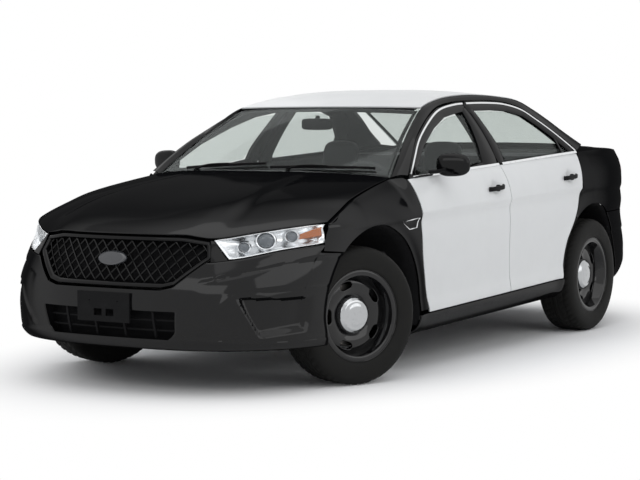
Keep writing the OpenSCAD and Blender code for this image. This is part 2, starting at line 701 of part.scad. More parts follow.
module trunk_lid() {
    ss = [-1, -0.9, -0.7, -0.35, 0, 0.35, 0.7, 0.9, 1];
    function deck(s, q) =
        let (yf = 1848 - 200 * s * s, zr = 1128, xr = lid_half * s, yr = tail_y(xr, zr),
             y = mix(yf, yr, q), w = deck_edge(mix(1648, 2330, q))[0] - gap,
             x = q < 1 ? s * min(w, mix(w, lid_half, pow(q, 4))) : xr,
             z = at(q, [[0, 1184], [0.4, 1172], [0.8, 1148], [1, 1130]]))
        [x, y, z];
    function back(s, t) = let (z = mix(1130, seam_z + gap, t), x = s * lid_half) [x, tail_y(x, z), z];
    drop = [0, 0, skin];
    push = [0, skin, 0];
    qs = [0, 0.2, 0.4, 0.6, 0.8, 0.93, 1];
    ts = [0.12, 0.4, 0.7, 1];
    outer = concat([for (q = qs) [for (s = ss) deck(s, q)]], [for (t = ts) [for (s = ss) back(s, t)]]);
    inner = concat(
        [for (q = qs) [for (s = ss) deck(s, min(q, 0.975)) - drop]],
        [for (t = ts) [for (s = ss) back(s, t) - push]]);
    color(body_black)
    slab(outer, inner);
}

// ---- Doors ----

door_depth = 120;
function door_inner(p, lead, trail, u) = [
    min(p[0] - 40, mix(832, 808, clamp((p[2] - 330) / 740, 0, 1))),
    p[1] + lead * pow(1 - u, 6) - trail * pow(u, 6), p[2]];

// Lower part of a door between its leading and trailing edges, which are functions of height
module door_panel(low, high) {
    us = [0, 0.04, 0.2, 0.4, 0.6, 0.8, 0.96, 1];
    ts = [0, 0.04, 0.12, 0.2, 0.28, 0.35, 0.46, 0.56, 0.64, 0.7, 0.76, 0.85, 0.95, 1];
    function spot(u, t) =
        let (zl = mix(sill_z(-900), belt_z(-1000), t), zr = mix(sill_z(500), belt_z(500), t),
             y0 = low == 0 ? front_lead(zl) : door_split(zr) + gap / 2,
             y1 = high == 0
                 ? door_split(zr) - gap / 2
                 : rear_edge(mix(sill_z(850), belt_z(1150), t)),
             y = mix(y0, y1, u))
        [y, mix(sill_z(y), belt_z(y), t)];
    outer = [for (u = us) [for (t = ts) let (p = spot(u, t)) on_side(p[0], p[1])]];
    inner = [for (i = [0:len(us) - 1]) [for (p = outer[i]) door_inner(p, 10, 28, us[i])]];
    slab(outer, inner);
}

// Frame round a side window. An outline entry is [place, reach outwards, reach inwards, sunk below skin].
module window_frame(outline, trail_from) {
    n = len(outline);
    function turn(i) =
        let (t = outline[(i + 1) % n][0] - outline[(i + n - 1) % n][0], u = t / norm(t))
        [-u[1], u[0]];
    loft([for (i = [0:n - 1])
        let (o = outline[i], a = o[0] + o[1] * turn(i), b = o[0] - o[2] * turn(i),
             tuck = a[0] > trail_from ? 20 : 0)
        [on_window(a, o[3]), on_window(b, o[3]), on_window(b, 42),
         on_window(a - [tuck, 0], 42)]], loop = true);
}
front_window = concat(
    [for (i = [0:5]) [window_top[i], i < 1 ? 10 : 17, i < 1 ? 18 : 40, 3]],
    [[[46, 1462], 17, 36, 3], [[8, 1330], 34, 26, 3], [[-42, 1200], 56, 26, 4],
        [[-76, 1100], 78, 26, 12]],
    [for (y = [-300, -550, -800]) [[y, belt_z(y) - 6], 14, 14, 12]]);
rear_window_line = concat(
    [[[116, 1466], 17, 40, 3], [[250, 1467], 17, 40, 3]],
    [for (i = [7:12]) [window_top[i], 17, 38, 3]],
    [[[1148, 1148], 12, 26, 3]],
    [for (y = [1050, 750, 450]) [[y, belt_z(y) - 6], 14, 14, 12]],
    [[[172, 1104], 64, 20, 12], [[160, 1220], 50, 20, 4], [[138, 1340], 34, 20, 3]]);

module front_door(side) {
    color(body_white)
    at_side(side)
    fused() {
        door_panel(0, 0);
        window_frame(front_window, -120);
    }
}
module rear_door(side) {
    color(body_white)
    at_side(side)
    fused() {
        door_panel(1, 1);
        window_frame(rear_window_line, 1040);
    }
}
module front_door_left() front_door(1);
module front_door_right() front_door(-1);
module rear_door_left() rear_door(1);
module rear_door_right() rear_door(-1);

module pane(side, low, high) {
    outer = [for (u = steps(4)) [for (i = [0:len(low) - 1]) on_window(mix(low[i], high[i], u), 16)]];
    color(glass_tint)
    at_side(side)
    slab(outer, [for (r = outer) [for (p = r) p - [glass_t, 0, 0]]]);
}
front_pane = [[[-905, 1072], [-760, 1085], [-560, 1093], [-320, 1105], [-108, 1128]],
    [[-900, 1084], [-668, 1224], [-440, 1320], [-230, 1382], [-2, 1408]]];
rear_pane = [[[194, 1126], [400, 1138], [640, 1148], [880, 1158], [1076, 1166]],
    [[166, 1422], [380, 1423], [560, 1414], [700, 1384], [1052, 1180]]];
module front_glass_left() pane(1, front_pane[0], front_pane[1]);
module front_glass_right() pane(-1, front_pane[0], front_pane[1]);
module rear_glass_left() pane(1, rear_pane[0], rear_pane[1]);
module rear_glass_right() pane(-1, rear_pane[0], rear_pane[1]);

// Door mirror: a rounded shell on a short foot
module mirror_shell(side) {
    color(trim_black)
    at_side(side)
    fused() {
        hull() {
            translate([985, -728, 1128]) scale([1, 0.42, 0.72]) sphere(r = 95, $fn = 24);
            translate([1040, -700, 1126]) scale([0.6, 0.5, 0.8]) sphere(r = 85, $fn = 24);
        }
        hull() {
            translate([887, -840, 1076]) cube([20, 130, 28]);
            translate([950, -770, 1078]) cube([20, 60, 26]);
        }
    }
}
module mirror_left() mirror_shell(1);
module mirror_right() mirror_shell(-1);

// ---- Wheels ----

module tyre() {
    rotate([0, 90, 0])
    rotate_extrude($fn = 96)
    polygon([[rim_r - 30, -91], [rim_r + 1, -97], [rim_r + 2, -112], [300, -tyre_w / 2],
        [340, -tyre_w / 2 + 8], [tyre_r - 6, -tyre_w / 2 + 28], [tyre_r, -60], [tyre_r, 60],
        [tyre_r - 6, tyre_w / 2 - 28],
        [340, tyre_w / 2 - 8], [300, tyre_w / 2], [rim_r + 2, 112], [rim_r + 1, 97], [rim_r - 30, 91]]);
}

// Wheel turned about X: barrel, disc with slots, hub, round cap and brake disc; its outer face looks to +X
module wheel_shape() {
    slot_r = 163;
    first_slot = 54;
    rotate([0, 90, 0])
    difference() {
        union() {
            rotate_extrude($fn = 96)
            polygon([[205, -108], [rim_r, -108], [rim_r, -98], [rim_r - 31, -92], [rim_r - 31, 92],
                [rim_r, 98], [rim_r, 108], [205, 108], [203, 60], [196, 52], [196, -60], [203, -92]]);
            rotate_extrude($fn = 96)
            polygon([[0, 32], [92, 32], [120, 46], [163, 52], [204, 40], [204, 28], [163, 40],
                [122, 32], [95, 12], [0, 12]]);
            // Cap
            rotate_extrude()
            polygon([[0, 28], [96, 30], [97, 50], [84, 66], [50, 75], [0, 77]]);
            translate([0, 0, -30]) cylinder(r = 78, h = 50);
            translate([0, 0, -26]) cylinder(r = 165, h = 26);
        }
        for (i = [0:slots - 1]) rotate(first_slot + i * 360 / slots)
            translate([slot_r, 0, 5])
            linear_extrude(70)
            polygon([[-16, -30], [2, -44], [18, -34], [21, 0], [18, 34], [2, 44], [-16, 30]]);
        translate([0, 0, -31]) cylinder(r = 32, h = 55);
    }
}
// Front pieces turn about the kingpin by the parked steering angle.
module steered(side) {
    translate([side * kingpin_x, front_y, 0])
    rotate(parked_steer)
    translate([-side * kingpin_x, -front_y, 0])
    children();
}
module wheel_at(side, y) {
    translate([side * wheel_x, y, tyre_r]) at_side(side) children();
}
module tyre_front_left() color(rubber) steered(1) wheel_at(1, front_y) tyre();
module tyre_front_right() color(rubber) steered(-1) wheel_at(-1, front_y) tyre();
module tyre_rear_left() color(rubber) wheel_at(1, rear_y) tyre();
module tyre_rear_right() color(rubber) wheel_at(-1, rear_y) tyre();
module wheel_front_left() color(trim_black) steered(1) wheel_at(1, front_y) wheel_shape();
module wheel_front_right() color(trim_black) steered(-1) wheel_at(-1, front_y) wheel_shape();
module wheel_rear_left() color(trim_black) wheel_at(1, rear_y) wheel_shape();
module wheel_rear_right() color(trim_black) wheel_at(-1, rear_y) wheel_shape();

// Front hub carrier with its spindle, which the wheel turns on
module knuckle(side) {
    color(steel)
    steered(side)
    wheel_at(side, front_y)
    rotate([0, 90, 0]) {
        translate([0, 0, -120]) cylinder(r = 60, h = 70);
        translate([0, 0, -120]) cylinder(r = 31.5, h = 108);
        translate([-30, -160, -118]) cube([60, 110, 40]);
    }
}
module knuckle_left() knuckle(1);
module knuckle_right() knuckle(-1);

body_sides();
roof_panel();
front_fenders();
front_bumper();
grille();
plate_bracket();
radiator();
rear_bumper();
headlamps();
tail_lamps();
screens();
cowl();
rear_shelf();
floor_pan();
engine_block();
front_subframe();
rear_suspension();
exhaust();
fuel_tank();
dashboard();
front_seats();
rear_seat();
hood();
trunk_lid();
front_door_left();
front_door_right();
rear_door_left();
rear_door_right();
front_glass_left();
front_glass_right();
rear_glass_left();
rear_glass_right();
mirror_left();
mirror_right();
steering_wheel();
knuckle_left();
knuckle_right();
tyre_front_left();
tyre_front_right();
tyre_rear_left();
tyre_rear_right();
wheel_front_left();
wheel_front_right();
wheel_rear_left();
wheel_rear_right();
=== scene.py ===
"""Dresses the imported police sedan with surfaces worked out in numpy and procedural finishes."""
import logging
import math
from dataclasses import dataclass, field
from enum import Enum
from typing import Any, Callable, Iterable, Optional, Sequence

import bmesh
import bpy
import numpy as np
from mathutils import Matrix, Vector


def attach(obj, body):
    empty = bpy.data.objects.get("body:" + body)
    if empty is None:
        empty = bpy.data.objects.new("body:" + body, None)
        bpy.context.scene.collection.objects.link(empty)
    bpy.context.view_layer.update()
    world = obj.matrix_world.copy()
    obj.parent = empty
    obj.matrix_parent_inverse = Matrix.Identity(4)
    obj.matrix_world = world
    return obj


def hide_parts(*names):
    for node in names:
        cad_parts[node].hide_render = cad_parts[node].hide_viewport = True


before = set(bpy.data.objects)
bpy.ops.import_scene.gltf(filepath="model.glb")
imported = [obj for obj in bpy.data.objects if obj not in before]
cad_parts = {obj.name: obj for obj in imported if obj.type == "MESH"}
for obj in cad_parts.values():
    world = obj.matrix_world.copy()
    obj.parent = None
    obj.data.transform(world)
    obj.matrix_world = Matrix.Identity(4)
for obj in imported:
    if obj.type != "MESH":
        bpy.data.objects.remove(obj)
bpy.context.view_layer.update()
LOG = logging.getLogger("patrol_car")
Array = np.ndarray
MM = 0.001


class Side(Enum):
    """The car's two sides; the value is the sign of X."""
    LEFT = 1
    RIGHT = -1

    @property
    def word(self) -> str:
        """The side's name as the bodies have it."""
        return self.name.lower()


# ---- Curves ----

def hermite(x: Array, places: Array, values: Array) -> Array:
    """Smooth curve through table entries, held level past both ends.

    Each span is the cubic whose end slopes are the chords across the neighbouring entries.

    Args:
        x: Positions, any shape.
        places: Table positions (K) or one row of them for each position (N, K).
        values: Table values (K), (K, D) or (N, K, D).

    Returns:
        Values with the shape of x, with a last axis D if the table has one.
    """
    x = np.asarray(x, float)
    flat = x.ravel()
    n, k = flat.size, np.shape(places)[-1]
    p = np.broadcast_to(places, (n, k))
    v = np.asarray(values, float)
    vector = v.ndim > 1 and (np.ndim(places) == 1 or v.ndim > 2)
    v = v[..., None] if not vector else v
    v = np.broadcast_to(v, (n, k, v.shape[-1]))
    row = np.arange(n)
    i = np.clip((p <= flat[:, None]).sum(1) - 1, 0, k - 2)

    def slope(j: Array) -> Array:
        """Chord slope across entry j."""
        a, b = np.maximum(0, j - 1), np.minimum(k - 1, j + 1)
        return (v[row, b] - v[row, a]) / (p[row, b] - p[row, a])[:, None]

    h = p[row, i + 1] - p[row, i]
    u = np.clip((flat - p[row, i]) / h, 0, 1)[:, None]
    h = h[:, None]
    out = ((1 + 2 * u) * (1 - u) ** 2 * v[row, i] + u * (1 - u) ** 2 * h * slope(i)
           + u * u * (3 - 2 * u) * v[row, i + 1] + u * u * (u - 1) * h * slope(i + 1))
    return out.reshape(x.shape + (out.shape[-1],)) if vector else out[:, 0].reshape(x.shape)


def table(entries: Sequence[Sequence[Any]]) -> tuple[Array, Array]:
    """Splits [position, value] pairs into two arrays."""
    return np.array([e[0] for e in entries], float), np.array([e[1] for e in entries], float)


def ease(t: Array) -> Array:
    """Smooth step from 0 to 1 as t goes from 0 to 1."""
    u = np.clip(t, 0, 1)
    return u * u * (3 - 2 * u)


def mix(a: Any, b: Any, t: Any) -> Any:
    """Straight blend from a to b."""
    return a + (b - a) * t


def points(x: Any, y: Any, z: Any) -> Array:
    """Stacks three coordinates into points."""
    return np.stack(np.broadcast_arrays(np.asarray(x, float), y, z), -1)


def unit(v: Array) -> Array:
    """Vectors along the last axis brought to length one."""
    return v / np.linalg.norm(v, axis=-1, keepdims=True)


def powered(value: Array, power: float) -> Array:
    """Power of a number's size with its sign kept, which squares off a circle."""
    return np.sign(value) * np.abs(value) ** power


def circle(count: int) -> Array:
    """Angles spaced evenly once round, the first not repeated."""
    return np.linspace(0, 2 * np.pi, count, endpoint=False)


def net_of(u: Array, v: Array) -> tuple[Array, Array]:
    """Two-parameter net: u along the rows, v along the columns."""
    return np.meshgrid(u, v, indexing="ij")


def shares(n: int, m: int, low: float = 0.0) -> tuple[Array, Array]:
    """Net of shares: n rows from 0 to 1, m columns from low to 1."""
    return net_of(np.linspace(0, 1, n), np.linspace(low, 1, m))


def ball(rows: int, columns: int, power: float) -> tuple[Array, Array, Array]:
    """Unit superellipsoid: a sphere's sines and cosines, each raised to the power with its sign kept."""
    v, w = net_of(np.linspace(-np.pi / 2, np.pi / 2, rows), circle(columns))
    cv, sv, cw, sw = (powered(f(a), power) for a in (v, w) for f in (np.cos, np.sin))
    return cv * cw, cv * sw, sv


@dataclass(frozen=True)
class BodyForm:
    """Outer form of the body in millimetres: section rails, round ends, window plane and roof edge."""
    rear_y: float = 1287.0
    nose_base: float = -1581.0
    front_arch: tuple[float, float] = (-1473.0, 368.0)
    rear_arch: tuple[float, float] = (1282.0, 385.0)
    front_arch_r: float = 462.0
    rear_arch_r: float = 445.0
    flare: float = 12.0
    gap: float = 6.0
    seam_z: float = 765.0
    fender_seam_z: float = 708.0
    lid_half: float = 560.0
    lamp_y: float = 1950.0
    tail_lamp_low: tuple[float, float] = (900.0, 880.0)
    tail_lamp_high: tuple[float, float] = (1085.0, 1100.0)

    def bottom_z(self, y: Array) -> Array:
        """Lower edge of the rocker: a straight rise to the rear."""
        return 228 + 0.028 * y

    def sill_z(self, y: Array) -> Array:
        """Lower edge of the doors: a straight rise to the rear."""
        return 348 + 0.0324 * y

    def crease_z(self, y: Array) -> Array:
        """Character line along the doors."""
        return 893 + 0.0324 * np.maximum(y, self.nose_base) + 0.03 * np.minimum(0, y - self.nose_base)

    def belt_z(self, y: Array) -> Array:
        """Lower line of the side windows."""
        return hermite(y, *table([(-1100, 1052), (0, 1102), (1400, 1166), (1700, 1167), (2100, 1155),
                                  (2520, 1128)]))

    def hood_edge(self, y: Array) -> Array:
        """Seam between hood and fender as (z, x)."""
        return hermite(y, *table([(-1878, (871, 915)), (-1720, (925, 895)), (-1560, (972, 866)),
                                  (-1300, (1026, 832)), (-1040, (1067, 795))]))

    def flank(self, y: Array, z: Array) -> Array:
        """Half width: a smooth curve through eleven rail points, less a taper, plus a swell at each arch."""
        y, z = np.broadcast_arrays(np.asarray(y, float), z)
        yc = np.clip(y, self.nose_base, self.rear_y).ravel()
        b, s, c, w = self.bottom_z(yc), self.sill_z(yc), self.crease_z(yc), self.belt_z(yc)
        e = self.hood_edge(yc)
        o = np.zeros_like(yc)
        low_z = [b, b + 42, s, s + 92, s + 252, s + 422, c - 36, c]
        low_x = [o + v for v in (866, 924, 946, 938, 943, 952, 951, 962)]
        t = ease((yc + 1125) / 100)
        high_z = [mix(mix(c, e[:, 0], 0.3) + 10, w - 117, t), mix(mix(c, e[:, 0], 0.68) + 8, w - 40, t),
                  mix(e[:, 0], w, t)]
        high_x = [mix(mix(962, e[:, 1], 0.3) + 14, 944, t), mix(mix(962, e[:, 1], 0.68) + 16, 908, t),
                  mix(e[:, 1], 880, t)]
        x = hermite(z.ravel(), np.stack(low_z + high_z, 1), np.stack(low_x + high_x, 1)[..., None])[..., 0]
        zf = z.ravel()
        f = np.hypot(yc - self.front_arch[0], zf - self.front_arch[1]) - self.front_arch_r
        r = np.hypot(yc - self.rear_arch[0], zf - self.rear_arch[1]) - self.rear_arch_r
        x = x - 6 * ((yc + 100) / 1450) ** 2 + self.flare * (np.exp(-f * f / 3600) + np.exp(-r * r / 3600))
        return x.reshape(y.shape)

    def nose(self, z: Array) -> tuple[Array, Array]:
        """Depth and power of the nose's superellipse at a height."""
        s = hermite(z, *table([
            (205, (885, 2.6)), (262, (938, 2.9)), (330, (962, 3)), (440, (984, 3)), (560, (978, 2.9)),
            (690, (936, 2.6)), (760, (909, 2.4)), (816, (890, 2.3)), (871, (837, 2.2)), (900, (680, 2.2)),
            (925, (507, 2.2)), (950, (365, 2.2)), (975, (330, 2.2))]))
        return s[..., 0], s[..., 1]

    def tail(self, z: Array) -> tuple[Array, Array]:
        """Depth and power of the tail's superellipse at a height."""
        s = hermite(z, *table([
            (290, (1130, 2.5)), (400, (1238, 2.6)), (495, (1282, 2.6)), (600, (1288, 2.5)),
            (760, (1268, 2.3)), (925, (1242, 2.35)), (1055, (1182, 2.6)), (1133, (1150, 2.75)),
            (1170, (1120, 2.8))]))
        return s[..., 0], s[..., 1]

    @staticmethod
    def round_off(r: Array, n: Array) -> Array:
        """Other coordinate of a unit superellipse of power n."""
        return np.maximum(0, 1 - np.minimum(1, np.abs(r)) ** n) ** (1 / n)

    def nose_y(self, x: Array, z: Array) -> Array:
        """Front surface over a place across the car and a height."""
        x, z = np.broadcast_arrays(np.asarray(x, float), np.asarray(z, float))
        b, n = self.nose(z)
        return self.nose_base - b * self.round_off(x / self.flank(np.full(z.shape, self.nose_base), z), n)

    def tail_y(self, x: Array, z: Array) -> Array:
        """Rear surface over a place across the car and a height."""
        x, z = np.broadcast_arrays(np.asarray(x, float), np.asarray(z, float))
        b, n = self.tail(z)
        return self.rear_y + b * self.round_off(x / self.flank(np.full(z.shape, self.rear_y), z), n)

    def on_side(self, y: Array, z: Array) -> Array:
        """Points of the body side, round ends included."""
        y, z = np.broadcast_arrays(np.asarray(y, float), np.asarray(z, float))
        x = self.flank(y, z)
        bn, nn = self.nose(z)
        bt, nt = self.tail(z)
        x = np.where(y < self.nose_base, x * self.round_off((self.nose_base - y) / bn, nn), x)
        x = np.where(y > self.rear_y, x * self.round_off((y - self.rear_y) / bt, nt), x)
        return points(x, y, z)

    @staticmethod
    def unit_turn(a: Array, n: Array) -> tuple[Array, Array]:
        """Point of a unit superellipse in the direction a degrees from straight ahead."""
        s, c = np.sin(np.radians(a)), np.cos(np.radians(a))
        k = (np.abs(s) ** n + np.abs(c) ** n) ** (-1 / n)
        return s * k, c * k

    def on_nose(self, a: Array, z: Array) -> Array:
        """Points of the nose by turn from straight ahead and height."""
        b, n = self.nose(z)
        u, v = self.unit_turn(a, n)
        return points(u * self.flank(np.full(z.shape, self.nose_base), z), self.nose_base - v * b, z)

    def on_tail(self, a: Array, z: Array) -> Array:
        """Points of the tail by turn from straight back and height."""
        b, n = self.tail(z)
        u, v = self.unit_turn(a, n)
        return points(u * self.flank(np.full(z.shape, self.rear_y), z), self.rear_y + v * b, z)

    def turn_at_depth(self, r: Array, n: Array) -> Array:
        """Turn at which a round end has a share r of its depth."""
        return np.degrees(np.arctan2(self.round_off(r, n), r))

    def turn_at_width(self, r: Array, n: Array) -> Array:
        """Turn at which a round end has a share r of its half width."""
        return np.degrees(np.arctan2(r, self.round_off(r, n)))

    def tail_turn_y(self, y: float, z: Array) -> Array:
        """Turn of the tail at a place along the car."""
        b, n = self.tail(z)
        return self.turn_at_depth((y - self.rear_y) / b, n)

    def tail_turn_x(self, x: float, z: Array) -> Array:
        """Turn of the tail at a place across the car."""
        _, n = self.tail(z)
        return self.turn_at_width(x / self.flank(np.full(z.shape, self.rear_y), z), n)

    @staticmethod
    def arch_points(arch: tuple[float, float], r: float, a: Array) -> Array:
        """Places (y, z) on an arch's circle by angle."""
        return np.stack([arch[0] + r * np.cos(a), arch[1] + r * np.sin(a)], 1)

    @staticmethod
    def arch_reach(arch: tuple[float, float], r: float, z: Array) -> Array:
        """Half length of an arch's opening at a height."""
        return np.sqrt(np.maximum(0, r * r - (z - arch[1]) ** 2))

    def window_x(self, y: Array, z: Array) -> Array:
        """Half width of the leaning window plane: falls with the height over the belt line."""
        h = z - self.belt_z(y)
        return 880 - 0.45 * h - 0.0006 * h * h

    def on_window(self, p: Array, inset: Any = 0.0) -> Array:
        """Points of the window plane at (y, z)."""
        return points(self.window_x(p[..., 0], p[..., 1]) - inset, p[..., 0], p[..., 1])

    def roof_edge(self, y: Array) -> Array:
        """Outer edge of the roof as (x, z)."""
        return hermite(y, *table([
            (-472, (642, 1439)), (-308, (617, 1476)), (-80, (598, 1510)), (238, (594, 1525)),
            (593, (612, 1515)), (813, (642, 1488)), (1090, (692, 1383)), (1237, (728, 1310)),
            (1416, (757, 1236)), (1547, (788, 1176))]))

    def front_lead(self, z: Array) -> Array:
        """Leading edge of the front door."""
        return hermite(z, *table([(324, -895), (480, -935), (668, -977), (861, -999), (1060, -1024)]))

    def door_split(self, z: Array) -> Array:
        """Seam between the two doors."""
        return hermite(z, *table([(341, 103), (520, 90), (720, 78), (1110, 72)]))

    def rear_edge(self, z: Array) -> Array:
        """Trailing edge of the rear door: round the arch, then a smooth curve."""
        low = self.rear_arch[0] - np.sqrt(np.maximum(0, (self.rear_arch_r + 16) ** 2
                                                     - (z - self.rear_arch[1]) ** 2))
        high = hermite(z, *table([(640, 900), (740, 982), (850, 1052), (940, 1090), (1060, 1122),
                                  (1160, 1165)]))
        return np.where(z < 640, low, high)

    def deck_edge(self, y: Array) -> Array:
        """Edge of the quarter's top beside the trunk lid."""
        v = hermite(y, *table([(1176, (835, 1172)), (1300, (800, 1196)), (1480, (772, 1194)),
                               (1640, (742, 1180)), (1950, (700, 1165)), (2200, (626, 1152)),
                               (2330, (566, 1144))]))
        return points(v[..., 0], y, v[..., 1])

    def hood_front(self, x: Array) -> Array:
        """Height of the hood's front lip."""
        return hermite(np.abs(x), *table([(0, 818), (400, 816), (455, 808), (520, 800), (600, 808),
                                          (700, 829), (800, 849), (915, 871)]))

    def lamp_bottom(self, x: Array) -> Array:
        """Lower edge of a headlamp."""
        return hermite(x, *table([(560, 687), (680, 705), (800, 738), (890, 758), (915, 765)]))

    def hood_point(self, s: Array, q: Array) -> Array:
        """Point of the hood: s across from -1 to 1, q from the front lip to the cowl."""
        xf = 903 * s
        lip = self.hood_front(xf)
        x = s * mix(903, 784, q) - 6 * s * np.sin(np.pi * q)
        yf, yr = self.nose_y(xf, lip), -1196 + 128 * s * s
        fall = np.abs(s) ** 3.4
        middle = hermite(q, *table([(0, 818), (0.05, 850), (0.12, 884), (0.3, 950), (0.52, 1006),
                                    (0.76, 1053), (1, 1092)]))
        edge = hermite(q, *table([(0, 871), (0.2, 925), (0.363, 970), (0.706, 1026), (1, 1064)]))
        lead = lip - (818 * (1 - fall) + 871 * fall)
        z = (middle * (1 - fall) + edge * fall + lead * (1 - q) ** 3
             + 100 * s * s * (1 - np.abs(s)) * np.sin(np.pi * np.clip(q, 0, 1) ** 0.6))
        return points(x, mix(yf, yr, q), z)


FORM = BodyForm()
WINDOW_TOP = np.array([
    [-1002, 1056], [-860, 1163], [-700, 1264], [-466, 1364], [-265, 1427], [-48, 1457], [145, 1466],
    [380, 1468], [560, 1460], [723, 1428], [831, 1369], [944, 1299], [1066, 1221], [1172, 1152]], float)


# ---- Meshes ----

def grid_faces(n: int, m: int, close_u: bool, close_v: bool) -> Array:
    """Four-cornered faces over an n by m grid of points, as one array."""
    i, j = net_of(np.arange(n if close_u else n - 1), np.arange(m if close_v else m - 1))
    i, j = i.ravel(), j.ravel()
    i2, j2 = (i + 1) % n, (j + 1) % m
    return np.stack([i * m + j, i2 * m + j, i2 * m + j2, i * m + j2], 1)


def face_normals(p: Array, f: Array) -> Array:
    """Unscaled normals of four-cornered faces: the cross product of their diagonals."""
    return np.cross(p[f[:, 2]] - p[f[:, 0]], p[f[:, 3]] - p[f[:, 1]])


def capped(rings: Array) -> Array:
    """Rings with their middle points added before the first and after the last, which closes a tube."""
    ends = rings[[0, -1]].mean(1, keepdims=True) + np.zeros_like(rings[:1])
    return np.concatenate([ends[:1], rings, ends[1:]])


def tube(path: Array, across: Array, up: Array, outline: Array) -> Array:
    """Carries an outline along a path.

    Args:
        path: Points (N, 3).
        across: Unit directions for the outline's first coordinate (N, 3).
        up: Unit directions for its second (N, 3).
        outline: Closed outline (M, 2) or one for each point (N, M, 2).

    Returns:
        Rings (N, M, 3).
    """
    o = np.broadcast_to(outline, (len(path),) + np.shape(outline)[-2:])
    return path[:, None] + across[:, None] * o[..., :1] + up[:, None] * o[..., 1:]


def round_outline(w: float, h: float, power: float = 2.6, count: int = 20) -> Array:
    """Closed superellipse outline w wide and h high."""
    a = circle(count)
    return np.stack([w / 2 * powered(np.cos(a), 2 / power), h / 2 * powered(np.sin(a), 2 / power)], 1)


def frames_along(path: Array, up: Sequence[float] = (0, 0, 1)) -> tuple[Array, Array]:
    """Two directions square to a path: across it, and as near as may be to the given up direction."""
    t = unit(np.gradient(path, axis=0))
    a = np.cross(t, np.asarray(up, float))
    a /= np.maximum(1e-9, np.linalg.norm(a, axis=1, keepdims=True))
    return a, np.cross(a, t)


def turned(profile: Array, count: int) -> Array:
    """Surface of revolution about the X axis: a profile (x, r) swept through count places."""
    a, r = circle(count)[:, None], profile[None, :, 1]
    return points(profile[None, :, 0], r * np.cos(a), r * np.sin(a))


